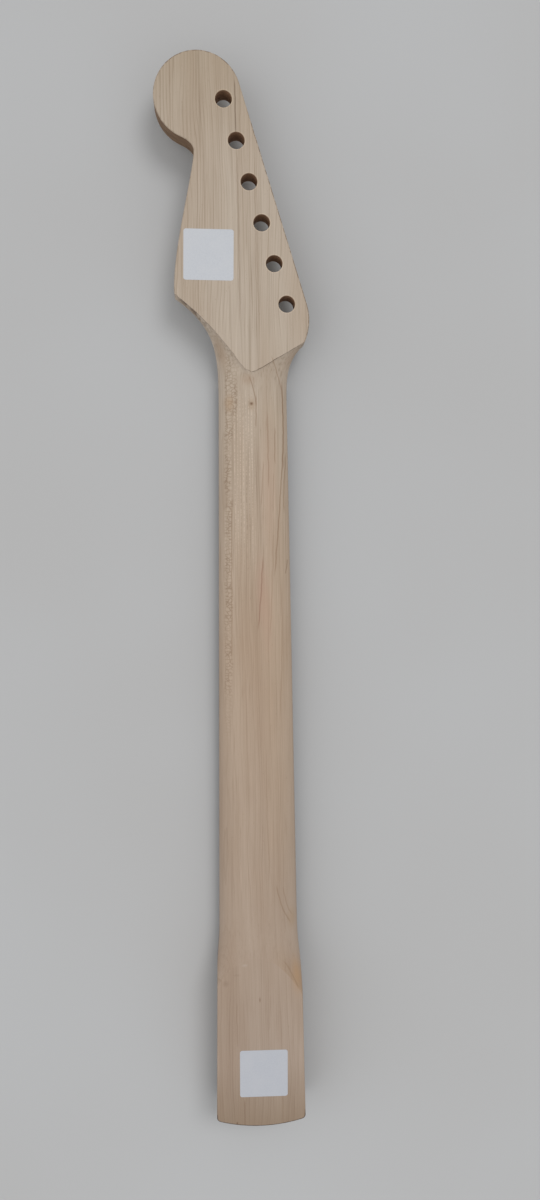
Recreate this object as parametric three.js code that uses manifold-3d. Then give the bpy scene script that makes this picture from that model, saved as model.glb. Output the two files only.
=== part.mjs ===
// Bolt-on electric guitar neck with a glued fingerboard, in the white: bare wood with no tuning machines.
// Millimetres. +Z points out of the back of the neck, +Y runs to the headstock, and +X is the bass side.
// The origin lies on the flat back of the heel, on the centreline, a little way in from its round end.
// The neck lies face down, so the frets and the string nut are its lowest parts.

import * as THREE from 'three';
import { mergeVertices } from 'three/addons/utils/BufferGeometryUtils.js';
import Module from 'manifold-3d';

const wasm = await Module();
wasm.setup();

// Lengths along the neck; the last fret, counted from the nut, sets the length up to the heel's end
const scaleLength = 647.7;
const fretCount = 21;
const fretDivisions = 12;
const heelPastLastFret = 8.86;
const seatInset = 2;
const neckLength = fretDistance(fretCount) + heelPastLastFret;
const heelEnd = -seatInset;
const nutLine = heelEnd + neckLength;

// Widths of the shaft and the heel
const nutWidth = 42;
const heelWidth = 56;
const shaftEndWidth = 49.8;
const shoulderStart = 96;
const shoulderLength = 26;
const heelEndRadius = 95;
const heelCornerLength = 2;
const heelCornerWidth = 2.2;

// Depths, all counted from the crown of the fingerboard at the heel
const heelDepth = 25.4;
const boardThickness = 6;
const nutDepth = 20.6;
const octaveDepth = 22.8;
const headDrop = 10;
const headThickness = 13.5;
const frontRampLength = 12;
const frontRampBendShare = 1 / 3;
const crownZ = -heelDepth;
const glueZ = crownZ + boardThickness;
const headFrontZ = crownZ + headDrop;
const headBackZ = headFrontZ + headThickness;

// The carve of the back
const backRoundness = 2.2;
const backSquareness = 2;
const carveColumns = 24;
const carveTrim = 0.15;
const flareTrim = 1;
const coveSharpness = 2.2;
const archDistance = 108;
const archDepth = 20;
const archSkewShare = 0.08;
const rampReach = 34;
const rampRows = 5;
const shaftRows = 4;
const flareRows = 9;

// Outline of the headstock
const flareStartInset = 9;
const flarePower = 3.5;
const trebleCornerSide = 46.8;
const trebleCornerAt = 52;
const bassCornerSide = 31.3;
const bassCornerAt = 23.8;
const bassShoulderAt = 46.5;
const ballRadius = 26;
const ballPastLastTuner = 27.96;
const notchPastBall = 2.5;
const notchFromTip = 58.1;
const ballEndAngle = THREE.MathUtils.degToRad(246);
const flankStartShare = 0.14;
const flankEndShare = 0.28;
const flankSwell = 1.4;
const veeTipSide = 1.2;
const veeTipAt = 5;
const veeBendSide = 19.2;
const veeBendAt = 31;
const veeSpread = 1.4;

// Tuner holes, counted from the one nearest the nut
const tunerCount = 6;
const tunerHoleRadius = 5;
const tunerPitch = 25;
const tunerAngle = THREE.MathUtils.degToRad(17);
const firstTunerSide = 20.5;
const firstTunerAt = 46.1;
const tunerEdgeDistance = 11.7;
const tunerSpan = (tunerCount - 1) * tunerPitch * Math.cos(tunerAngle);
const headLength = firstTunerAt + tunerSpan + ballPastLastTuner;

// Fingerboard, nut and frets
const boardRadius = 241;
const boardFacets = 7;
const boardShelf = 5;
const nutThickness = 3.2;
const nutSlotDepth = 3.5;
const nutRise = 2.2;
const stringCount = 6;
const stringEdgeGap = 3.5;
const stringGrooveWidth = 1;
const stringGrooveDepth = 1.1;
const fretCrownWidth = 2.5;
const fretCrownHeight = 1.2;
const fretTangWidth = 0.5;
const fretTangDepth = 1.6;
const fretInset = 0.3;
const fitGap = 0.15;

// Position markers
const faceDotRadius = 3.2;
const faceDotThickness = 1.8;
const octaveDotSpacing = 24;
const sideDotRadius = 1;
const sideDotThickness = 2;
const octaveSideDotSpacing = 7;
const singleDotFrets = [3, 5, 7, 9, 15, 17, 19, 21];
const octaveFret = 12;

// Truss rod and its groove; the rod lies over the still bar, and the blocks join the two
const rodClearance = 0.3;
const rodRadius = 2.2;
const barThickness = 2.9;
const barGap = 1;
const blockWall = 0.5;
const blockLength = 12;
const blockSeatGap = 0.1;
const blockWidth = 2 * (rodRadius + rodClearance + blockWall);
const channelWidth = blockWidth + 2 * rodClearance;
const channelFloorGap = 0.9;
const rearBlockAt = 30;
const frontBlockGap = 3;
const adjusterRadius = 4;
const adjusterLength = 14;
const adjusterInset = 0.7;
const adjusterGap = 0.7;
const adjusterPocketRadius = adjusterRadius + adjusterGap;
const pocketEndGap = 2.5;
const hexAcrossFlats = 4;
const hexDepth = 7;
const socketFloor = 2;
const wrenchSlotLength = 27;

// Paper labels
const labelSize = 30;
const labelCornerRadius = 1.5;
const labelThickness = 0.15;
const headLabelSide = -26.1;
const headLabelAt = 75;
const headLabelTurn = THREE.MathUtils.degToRad(-1);
const heelLabelSide = 1.8;
const heelLabelAt = 34.2;
const heelLabelTurn = THREE.MathUtils.degToRad(-0.4);

// Round stretches and cuts
const arcSteps = 16;
const holeSides = 32;
const smallSides = 12;
const fretCrownSteps = 4;
const labelCornerSteps = 3;
const hexSides = 6;
const overrun = 5;

const boardEnd = nutLine + nutThickness + boardShelf;
const headTip = nutLine + headLength;
const flareStart = nutLine - flareStartInset;
const rampEnd = heelEnd + archDistance + rampReach;
const octaveLine = nutLine - scaleLength / 2;
const barZ = glueZ + rodClearance;
const rodZ = barZ + barThickness + barGap + rodRadius;
const channelFloorZ = rodZ + rodRadius + channelFloorGap;
const adjusterEnd = boardEnd - adjusterInset;
const adjusterStart = adjusterEnd - adjusterLength;
const pocketStart = adjusterStart - pocketEndGap;

// Finishes
const maple = new THREE.MeshStandardMaterial({ color: 0xb7a48f, roughness: 0.75, metalness: 0 });
const rosewood = new THREE.MeshStandardMaterial({ color: 0x4a3026, roughness: 0.6, metalness: 0 });
const fretWire = new THREE.MeshStandardMaterial({ color: 0xb9b7b0, roughness: 0.3, metalness: 1 });
const bone = new THREE.MeshStandardMaterial({ color: 0xe6dfce, roughness: 0.5, metalness: 0 });
const pearl = new THREE.MeshStandardMaterial({ color: 0xe9e8e4, roughness: 0.25, metalness: 0 });
const steel = new THREE.MeshStandardMaterial({ color: 0x8c8d90, roughness: 0.4, metalness: 1 });
const brass = new THREE.MeshStandardMaterial({ color: 0xb09050, roughness: 0.35, metalness: 1 });
const paper = new THREE.MeshStandardMaterial({ color: 0xdedfe2, roughness: 0.6, metalness: 0 });

const guitarNeck = new THREE.Group();

// Solids and their booleans
function solidOf(geometry) {
  const bare = geometry.index ? geometry.toNonIndexed() : geometry.clone();
  bare.deleteAttribute('normal');
  bare.deleteAttribute('uv');
  const merged = mergeVertices(bare);
  const vertProperties = new Float32Array(merged.attributes.position.array);
  const triVerts = new Uint32Array(merged.index.array);
  return new wasm.Manifold(new wasm.Mesh({ numProp: 3, vertProperties, triVerts }));
}

function geometryOf(solid) {
  const { vertProperties, triVerts } = solid.getMesh();
  const geometry = new THREE.BufferGeometry();
  geometry.setAttribute('position', new THREE.BufferAttribute(new Float32Array(vertProperties), 3));
  geometry.setIndex(new THREE.BufferAttribute(new Uint32Array(triVerts), 1));
  geometry.computeVertexNormals();
  return geometry;
}

function joined(solids) {
  return solids.reduce((whole, solid) => whole.add(solid));
}

function addPart(name, shape, material) {
  const geometry = shape.isBufferGeometry ? shape : geometryOf(shape);
  const mesh = new THREE.Mesh(geometry, material);
  mesh.name = name;
  guitarNeck.add(mesh);
}

// Prisms along each axis, cut from a flat outline
function extrudeUp(outline, bottom, top) {
  const geometry = new THREE.ExtrudeGeometry(outline, {
    depth: top - bottom,
    bevelEnabled: false,
    curveSegments: arcSteps,
  });
  return geometry.translate(0, 0, bottom);
}

function extrudeAcross(outline, left, right) {
  const lengthwise = new THREE.Vector3(0, 1, 0);
  const upward = new THREE.Vector3(0, 0, 1);
  const crosswise = new THREE.Vector3(1, 0, 0);
  const turn = new THREE.Matrix4().makeBasis(lengthwise, upward, crosswise);
  return extrudeUp(outline, left, right).applyMatrix4(turn);
}

function extrudeAlong(outline, start, end) {
  const crosswise = new THREE.Vector3(1, 0, 0);
  const upward = new THREE.Vector3(0, 0, 1);
  const backward = new THREE.Vector3(0, -1, 0);
  const turn = new THREE.Matrix4().makeBasis(crosswise, upward, backward);
  return extrudeUp(outline, -end, -start).applyMatrix4(turn);
}

function boxBetween(low, high) {
  const size = high.map((value, axis) => value - low[axis]);
  const middle = high.map((value, axis) => (value + low[axis]) / 2);
  return new THREE.BoxGeometry(...size).translate(...middle);
}

function rodAlong(radius, start, end, height, sides = holeSides) {
  const rod = new THREE.CylinderGeometry(radius, radius, end - start, sides);
  return rod.translate(0, (start + end) / 2, height);
}

function pinUp(radius, x, y, bottom, top, sides = holeSides) {
  const pin = new THREE.CylinderGeometry(radius, radius, top - bottom, sides);
  pin.rotateX(Math.PI / 2);
  return pin.translate(x, y, (bottom + top) / 2);
}

function mix(from, to, share) {
  return from + (to - from) * share;
}

// Rises steeply away from its start and runs out flat
function cove(share) {
  return 1 - (1 - share) ** coveSharpness;
}

// Half the width of shaft, heel and fingerboard at a place along the neck
function edgeHalf(y) {
  const heelTaper = (heelWidth - nutWidth) / neckLength;
  const heelHalf = (heelWidth - heelTaper * (y - heelEnd)) / 2;
  const shaftStart = heelEnd + shoulderStart + shoulderLength;
  const shaftShare = (nutLine - y) / (nutLine - shaftStart);
  const shaftHalf = mix(nutWidth, shaftEndWidth, shaftShare) / 2;
  const shoulderShare = THREE.MathUtils.smoothstep(y, heelEnd + shoulderStart, shaftStart);
  return mix(heelHalf, shaftHalf, shoulderShare);
}

// How far the ridge of the rounded back stands above the glue line
function ridgeHeight(y) {
  const share = (nutLine - y) / (nutLine - octaveLine);
  return mix(nutDepth, octaveDepth, share) - boardThickness;
}

// Outline of the shaft and the heel, drawn from the treble side round the heel's end to the bass side
function traceShaft(outline, farEnd) {
  const sideSteps = [1, 0.8, 0.6, 0.4, 0.2, 0];
  const stations = sideSteps.map((share) => heelEnd + shoulderStart + shoulderLength * share);
  outline.moveTo(-edgeHalf(farEnd), farEnd);
  stations.forEach((y) => outline.lineTo(-edgeHalf(y), y));
  const arcHalf = edgeHalf(heelEnd) - heelCornerWidth;
  const arcAngle = Math.asin(arcHalf / heelEndRadius);
  const arcRise = heelEndRadius * (1 - Math.cos(arcAngle));
  const cornerY = heelEnd + arcRise + heelCornerWidth * Math.tan(arcAngle);
  const sideY = cornerY + heelCornerLength;
  outline.lineTo(-edgeHalf(sideY), sideY);
  outline.quadraticCurveTo(-edgeHalf(cornerY), cornerY, -arcHalf, heelEnd + arcRise);
  const down = -Math.PI / 2;
  outline.absarc(0, heelEnd + heelEndRadius, heelEndRadius, down - arcAngle, down + arcAngle);
  outline.quadraticCurveTo(edgeHalf(cornerY), cornerY, edgeHalf(sideY), sideY);
  stations.reverse().forEach((y) => outline.lineTo(edgeHalf(y), y));
  outline.lineTo(edgeHalf(farEnd), farEnd);
}

// One flare from the shaft's edge out to a corner of the headstock
function flarePoint(side, cornerSide, cornerAt, share) {
  const reach = mix(edgeHalf(flareStart), cornerSide, share ** flarePower);
  return new THREE.Vector2(side * reach, mix(flareStart, nutLine + cornerAt, share));
}

function flareShares() {
  return Array.from({ length: flareRows }, (_, row) => (row + 1) / flareRows);
}

// Straight edge beside the tuner holes, at a place along the neck
function tunerEdgeX(y) {
  const alongLine = y - (nutLine + firstTunerAt);
  const offset = tunerEdgeDistance / Math.cos(tunerAngle);
  return firstTunerSide - alongLine * Math.tan(tunerAngle) + offset;
}

function ballCentre() {
  const y = headTip - ballRadius;
  return new THREE.Vector2(tunerEdgeX(y) - ballRadius / Math.cos(tunerAngle), y);
}

// Whole outline of the neck blank
function blankOutline() {
  const outline = new THREE.Shape();
  traceShaft(outline, flareStart);
  for (const share of flareShares()) {
    const point = flarePoint(1, bassCornerSide, bassCornerAt, share);
    outline.lineTo(point.x, point.y);
  }
  const bassBend = nutLine + (bassCornerAt + bassShoulderAt) / 2;
  const bassTop = nutLine + bassShoulderAt;
  outline.quadraticCurveTo(tunerEdgeX(bassBend), bassBend, tunerEdgeX(bassTop), bassTop);
  const ball = ballCentre();
  const tangentX = ball.x + ballRadius * Math.cos(tunerAngle);
  outline.lineTo(tangentX, ball.y + ballRadius * Math.sin(tunerAngle));
  outline.absarc(ball.x, ball.y, ballRadius, tunerAngle, ballEndAngle);
  const ballEndX = ball.x + ballRadius * Math.cos(ballEndAngle);
  const ballEndY = ball.y + ballRadius * Math.sin(ballEndAngle);
  const notchX = ball.x - notchPastBall;
  const notchY = headTip - notchFromTip;
  const filletY = ballEndY + (ballEndX - notchX) / Math.tan(ballEndAngle);
  outline.quadraticCurveTo(notchX, filletY, notchX, notchY);
  const cornerY = nutLine + trebleCornerAt;
  const flankLength = notchY - cornerY;
  outline.bezierCurveTo(
    notchX, notchY - flankLength * flankStartShare,
    -trebleCornerSide - flankSwell, cornerY + flankLength * flankEndShare,
    -trebleCornerSide, cornerY,
  );
  for (const share of flareShares().reverse()) {
    const point = flarePoint(-1, trebleCornerSide, trebleCornerAt, share);
    outline.lineTo(point.x, point.y);
  }
  return outline;
}

// Side view of the blank: flat glue face, ramp in front of the nut, and the lower front of the headstock
function blankProfile() {
  const profile = new THREE.Shape();
  const rampBend = boardEnd + frontRampLength * frontRampBendShare;
  profile.moveTo(heelEnd - overrun, overrun);
  profile.lineTo(heelEnd - overrun, glueZ);
  profile.lineTo(boardEnd, glueZ);
  profile.quadraticCurveTo(rampBend, headFrontZ, boardEnd + frontRampLength, headFrontZ);
  profile.lineTo(headTip + overrun, headFrontZ);
  profile.lineTo(headTip + overrun, overrun);
  return profile;
}

// The edge where the flat back of the headstock ends, from its tip out to both corners
function veePoint(across) {
  const tip = new THREE.Vector2(-veeTipSide, nutLine + veeTipAt);
  const bend = new THREE.Vector2(-veeBendSide, nutLine + veeBendAt);
  const trebleCorner = new THREE.Vector2(-trebleCornerSide - flareTrim, nutLine + trebleCornerAt);
  const bassCorner = new THREE.Vector2(bassCornerSide + flareTrim, nutLine + bassCornerAt);
  const straight = new THREE.Vector2().addVectors(tip, bassCorner).divideScalar(2);
  const share = Math.abs(across) ** veeSpread;
  const treble = new THREE.QuadraticBezierCurve(tip, bend, trebleCorner);
  const bass = new THREE.QuadraticBezierCurve(tip, straight, bassCorner);
  return (across < 0 ? treble : bass).getPoint(share);
}

// A point of the rounded back; across runs from -1 at the treble edge to 1 at the bass edge
function shaftPoint(across, y) {
  const x = across * (edgeHalf(y) + carveTrim);
  const roundness = Math.max(0, 1 - Math.abs(across) ** backRoundness) ** (1 / backSquareness);
  return new THREE.Vector3(x, y, glueZ + ridgeHeight(y) * roundness);
}

// Place of the arched edge where the heel's flat back ends
function archY(across) {
  return heelEnd + archDistance - archDepth * (across + archSkewShare) ** 2;
}

function carveRows() {
  const rows = [];
  const columns = Array.from({ length: carveColumns + 1 }, (_, column) => {
    return Math.sin(Math.PI * (column / carveColumns - 1 / 2));
  });
  const addRow = (place) => rows.push(columns.map(place));
  const heelPoint = (across, y, z) => {
    return new THREE.Vector3(across * (edgeHalf(y) + carveTrim), y, z);
  };
  addRow((across) => heelPoint(across, heelEnd - overrun, overrun));
  addRow((across) => heelPoint(across, archY(across), 0));
  for (let row = 1; row <= rampRows; row += 1) {
    addRow((across) => {
      const share = row / rampRows;
      const point = shaftPoint(across, mix(archY(across), rampEnd, share));
      point.z *= cove(share);
      return point;
    });
  }
  for (let row = 1; row <= shaftRows; row += 1) {
    addRow((across) => shaftPoint(across, mix(rampEnd, flareStart, row / shaftRows)));
  }
  for (let row = 1; row <= flareRows; row += 1) {
    addRow((across) => {
      const share = row / flareRows;
      const start = shaftPoint(across, flareStart);
      const end = veePoint(across);
      const x = mix(start.x, end.x, share ** flarePower);
      const z = mix(headBackZ, start.z, cove(1 - share));
      return new THREE.Vector3(x, mix(start.y, end.y, share), z);
    });
  }
  const headReach = headLength / 2;
  addRow((across) => new THREE.Vector3(across * headReach, nutLine + headReach, headBackZ));
  addRow((across) => new THREE.Vector3(across * headReach, headTip + overrun, headBackZ));
  return rows;
}

// Closed block under a surface given as rows of points
function blockUnder(rows, floorZ) {
  const columnCount = rows[0].length;
  const surface = rows.flat();
  const floor = surface.map((point) => new THREE.Vector3(point.x, point.y, floorZ));
  const positions = [...surface, ...floor].flatMap((point) => point.toArray());
  const indices = [];
  const face = (corners) => {
    const [a, b, c, d] = corners;
    indices.push(a, b, c, a, c, d);
  };
  const top = (row, column) => row * columnCount + column;
  const bottom = (row, column) => surface.length + top(row, column);
  const wall = (start, end) => face([top(...start), top(...end), bottom(...end), bottom(...start)]);
  const lastRow = rows.length - 1;
  const lastColumn = columnCount - 1;
  for (let row = 0; row < lastRow; row += 1) {
    for (let column = 0; column < lastColumn; column += 1) {
      const round = [[row, column], [row, column + 1], [row + 1, column + 1], [row + 1, column]];
      face(round.map((corner) => top(...corner)));
      face(round.map((corner) => bottom(...corner)).reverse());
    }
    wall([row, 0], [row + 1, 0]);
    wall([row + 1, lastColumn], [row, lastColumn]);
  }
  for (let column = 0; column < lastColumn; column += 1) {
    wall([0, column + 1], [0, column]);
    wall([lastRow, column], [lastRow, column + 1]);
  }
  const geometry = new THREE.BufferGeometry();
  geometry.setAttribute('position', new THREE.Float32BufferAttribute(positions, 3));
  geometry.setIndex(indices);
  return geometry;
}

// Channel for the truss rod, with the wider round-bottomed groove of its adjuster and of the wrench
function rodChannel() {
  const half = channelWidth / 2;
  const channel = boxBetween(
    [-half, heelEnd + rearBlockAt - rodClearance, glueZ - overrun],
    [half, pocketStart + rodClearance, channelFloorZ],
  );
  const groove = new THREE.Shape();
  groove.moveTo(-adjusterPocketRadius, glueZ - overrun);
  groove.lineTo(adjusterPocketRadius, glueZ - overrun);
  groove.lineTo(adjusterPocketRadius, rodZ);
  groove.absarc(0, rodZ, adjusterPocketRadius, 0, Math.PI);
  const grooveEnd = boardEnd + wrenchSlotLength;
  const roundEnd = pinUp(adjusterPocketRadius, 0, grooveEnd, glueZ - overrun, rodZ);
  return joined([channel, extrudeAlong(groove, pocketStart, grooveEnd), roundEnd].map(solidOf));
}

function tunerPlace(index) {
  const along = index * tunerPitch;
  const x = firstTunerSide - along * Math.sin(tunerAngle);
  return new THREE.Vector2(x, nutLine + firstTunerAt + along * Math.cos(tunerAngle));
}

function addNeck() {
  const reach = headLength;
  const plan = solidOf(extrudeUp(blankOutline(), glueZ - overrun, 0));
  const profile = solidOf(extrudeAcross(blankProfile(), -reach, reach));
  const carve = solidOf(blockUnder(carveRows(), glueZ - overrun * 2));
  const holes = Array.from({ length: tunerCount }, (_, index) => {
    const place = tunerPlace(index);
    const hole = pinUp(tunerHoleRadius, place.x, place.y, headFrontZ - overrun, headBackZ + overrun);
    return solidOf(hole);
  });
  const blank = plan.intersect(profile).intersect(carve);
  addPart('neck', blank.subtract(joined([...holes, rodChannel()])), maple);
}

// Distance of a fret from the nut follows the equal-tempered scale
function fretDistance(fret) {
  return scaleLength * (1 - 2 ** (-fret / fretDivisions));
}

function fretLine(fret) {
  return nutLine - fretDistance(fret);
}

// Middle of the space behind a fret, where its marker sits
function markerLine(fret) {
  return (fretLine(fret) + fretLine(fret - 1)) / 2;
}

// How far the crown of the fingerboard has fallen at a distance from the centreline
function crownSag(side) {
  return boardRadius - Math.sqrt(boardRadius ** 2 - side ** 2);
}

// The round crown line of the fingerboard, lifted or sunk by rise, out to a half width
function crownArc(half, rise) {
  const radius = boardRadius + rise;
  const angle = Math.asin(half / radius);
  const centreZ = crownZ + boardRadius;
  return { radius, angle, centreZ };
}

function crownSection(half, rise, flatZ) {
  const { radius, angle, centreZ } = crownArc(half, rise);
  const section = new THREE.Shape();
  section.moveTo(half, flatZ);
  for (let facet = 0; facet <= boardFacets; facet += 1) {
    const turn = mix(angle, -angle, facet / boardFacets);
    section.lineTo(radius * Math.sin(turn), centreZ - radius * Math.cos(turn));
  }
  section.lineTo(-half, flatZ);
  return section;
}

function markerPlaces() {
  const dotted = singleDotFrets.filter((fret) => fret <= fretCount);
  const singles = dotted.map((fret) => ({ fret, pair: 0, letter: '' }));
  const pair = [-1, 1].map((side) => ({ fret: octaveFret, pair: side, letter: side < 0 ? 'a' : 'b' }));
  return [...singles, ...pair].map((marker) => ({
    ...marker,
    label: `${String(marker.fret).padStart(2, '0')}${marker.letter}`,
    y: markerLine(marker.fret),
  }));
}

function faceDot(marker, gap) {
  const x = marker.pair * octaveDotSpacing / 2;
  const topZ = crownZ + crownSag(Math.abs(x) + faceDotRadius);
  const outer = gap > 0 ? crownZ - overrun : topZ;
  const inner = crownZ + faceDotThickness + gap;
  return pinUp(faceDotRadius + gap, x, marker.y, outer, inner, holeSides / 2);
}

function sideDot(marker, gap) {
  const y = marker.y + marker.pair * octaveSideDotSpacing / 2;
  const edge = edgeHalf(y + sideDotRadius);
  const outer = gap > 0 ? edge + overrun : edge;
  const inner = edge - sideDotThickness - gap;
  const radius = sideDotRadius + gap;
  const dot = new THREE.CylinderGeometry(radius, radius, outer - inner, smallSides);
  dot.rotateZ(-Math.PI / 2);
  const middleZ = (glueZ + crownZ + crownSag(edge)) / 2;
  return dot.translate((outer + inner) / 2, y, middleZ);
}

function nutSlot() {
  const start = nutLine - fitGap;
  const end = nutLine + nutThickness + fitGap;
  const floorZ = crownZ + nutSlotDepth;
  return boxBetween([-heelWidth, start, crownZ - overrun], [heelWidth, end, floorZ]);
}

function fretSlot(fret) {
  const half = fretTangWidth / 2 + fitGap;
  const y = fretLine(fret);
  const floorZ = crownZ + crownSag(edgeHalf(y)) + fretTangDepth + fitGap;
  return boxBetween([-heelWidth, y - half, crownZ - overrun], [heelWidth, y + half, floorZ]);
}

function fretNumbers() {
  return Array.from({ length: fretCount }, (_, index) => index + 1);
}

function addFingerboard() {
  const outline = new THREE.Shape();
  traceShaft(outline, boardEnd);
  const plan = solidOf(extrudeUp(outline, crownZ - overrun, glueZ));
  const section = crownSection(heelWidth / 2 + overrun, 0, glueZ + overrun);
  const bar = solidOf(extrudeAlong(section, heelEnd - overrun, boardEnd + overrun));
  const cuts = [
    nutSlot(),
    ...fretNumbers().map(fretSlot),
    ...markerPlaces().map((marker) => faceDot(marker, fitGap)),
    ...markerPlaces().map((marker) => sideDot(marker, fitGap)),
  ];
  addPart('fingerboard', plan.intersect(bar).subtract(joined(cuts.map(solidOf))), rosewood);
}

// Bar of bone with a rounded top and one groove for each string
function addNut() {
  const half = edgeHalf(nutLine) - fitGap;
  const floorZ = crownZ + nutSlotDepth - fitGap;
  const nutEnd = nutLine + nutThickness;
  const bar = solidOf(extrudeAlong(crownSection(half, nutRise, floorZ), nutLine, nutEnd));
  const grooveStart = nutLine - overrun;
  const grooveEnd = nutEnd + overrun;
  const outerString = nutWidth / 2 - stringEdgeGap;
  const grooves = Array.from({ length: stringCount }, (_, string) => {
    const x = mix(-outerString, outerString, string / (stringCount - 1));
    const { radius, centreZ } = crownArc(Math.abs(x), nutRise);
    const topZ = centreZ - Math.sqrt(radius ** 2 - x ** 2);
    const groove = rodAlong(stringGrooveWidth / 2, grooveStart, grooveEnd, 0, smallSides);
    const mouth = boxBetween(
      [-stringGrooveWidth / 2, grooveStart, -stringGrooveDepth * 2],
      [stringGrooveWidth / 2, grooveEnd, 0],
    );
    const lowered = topZ + stringGrooveDepth - stringGrooveWidth / 2;
    return solidOf(groove).add(solidOf(mouth)).translate([x, 0, lowered]);
  });
  addPart('string_nut', bar.subtract(joined(grooves)), bone);
}

// T-shaped fret wire: a domed crown over a thin tang, bent to the fingerboard
function addFret(fret) {
  const y = fretLine(fret);
  const half = edgeHalf(y) - fretInset;
  const rise = fitGap / 2;
  const { radius, angle, centreZ } = crownArc(half, rise);
  const section = new THREE.Shape();
  section.moveTo(-fretTangWidth / 2, -fretTangDepth);
  section.lineTo(fretTangWidth / 2, -fretTangDepth);
  section.lineTo(fretTangWidth / 2, 0);
  section.lineTo(fretCrownWidth / 2, 0);
  for (let step = 1; step <= fretCrownSteps; step += 1) {
    const turn = Math.PI * step / fretCrownSteps;
    section.lineTo(Math.cos(turn) * fretCrownWidth / 2, Math.sin(turn) * fretCrownHeight);
  }
  section.lineTo(-fretTangWidth / 2, 0);
  const path = new THREE.Curve();
  path.getPoint = (share, target = new THREE.Vector3()) => {
    const turn = mix(-angle, angle, share);
    return target.set(radius * Math.sin(turn), y, centreZ - radius * Math.cos(turn));
  };
  const wire = new THREE.ExtrudeGeometry(section, {
    extrudePath: path,
    steps: boardFacets,
    bevelEnabled: false,
  });
  addPart(`fret_${String(fret).padStart(2, '0')}`, solidOf(wire), fretWire);
}

function addMarkers() {
  for (const marker of markerPlaces()) {
    addPart(`face_dot_${marker.label}`, faceDot(marker, 0), pearl);
    addPart(`side_dot_${marker.label}`, sideDot(marker, 0), pearl);
  }
}

// A block that carries the still bar on one side and lets the threaded rod pass
function rodBlock(start) {
  const half = blockWidth / 2;
  const end = start + blockLength;
  const block = boxBetween([-half, start, barZ], [half, end, channelFloorZ - blockSeatGap]);
  const bore = rodAlong(rodRadius + rodClearance, start - overrun, end + overrun, rodZ);
  return solidOf(block).subtract(solidOf(bore));
}

function addTrussRod() {
  const half = blockWidth / 2;
  const rearStart = heelEnd + rearBlockAt;
  const frontStart = pocketStart - frontBlockGap - blockLength;
  addPart('truss_rod_rear_block', rodBlock(rearStart), steel);
  addPart('truss_rod_front_block', rodBlock(frontStart), steel);
  const barStart = rearStart + blockLength + rodClearance;
  const barEnd = frontStart - rodClearance;
  const bar = boxBetween([-half, barStart, barZ], [half, barEnd, barZ + barThickness]);
  addPart('truss_rod_flat_bar', bar, steel);
  const seatDepth = adjusterLength - hexDepth - socketFloor;
  const rodEnd = adjusterStart + seatDepth - rodClearance;
  const rod = rodAlong(rodRadius, rearStart + rodClearance, rodEnd, rodZ);
  addPart('truss_rod_threaded_rod', rod, steel);
  const barrel = solidOf(rodAlong(adjusterRadius, adjusterStart, adjusterEnd, rodZ));
  const hexRadius = hexAcrossFlats / Math.sqrt(3);
  const socket = rodAlong(hexRadius, adjusterEnd - hexDepth, adjusterEnd + overrun, rodZ, hexSides);
  const seatEnd = adjusterStart + seatDepth;
  const seat = rodAlong(rodRadius + rodClearance, adjusterStart - overrun, seatEnd, rodZ);
  addPart('truss_rod_adjuster', barrel.subtract(joined([socket, seat].map(solidOf))), brass);
}

function addLabel(name, x, y, z, turn) {
  const half = labelSize / 2;
  const inner = half - labelCornerRadius;
  const outline = new THREE.Shape();
  const quarter = Math.PI / 2;
  const corners = [[1, -1], [1, 1], [-1, 1], [-1, -1]];
  corners.forEach(([sideX, sideY], corner) => {
    const start = quarter * (corner - 1);
    outline.absarc(sideX * inner, sideY * inner, labelCornerRadius, start, start + quarter);
  });
  const sheet = new THREE.ExtrudeGeometry(outline, {
    depth: labelThickness,
    bevelEnabled: false,
    curveSegments: labelCornerSteps,
  });
  addPart(name, sheet.rotateZ(turn).translate(x, y, z), paper);
}

addNeck();
addFingerboard();
addNut();
fretNumbers().forEach(addFret);
addMarkers();
addTrussRod();
addLabel('headstock_label', headLabelSide, nutLine + headLabelAt, headBackZ, headLabelTurn);
addLabel('heel_label', heelLabelSide, heelEnd + heelLabelAt, 0, heelLabelTurn);

export default guitarNeck;
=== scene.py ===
# Bolt-on electric guitar neck in bare maple, lying face down, seen from the back of the neck.
# Metres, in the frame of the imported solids: +Z out of the back, +Y to the headstock, +X the bass side.

import math

import bmesh
import bpy
import numpy as np
from mathutils import Matrix, Vector, noise


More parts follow.
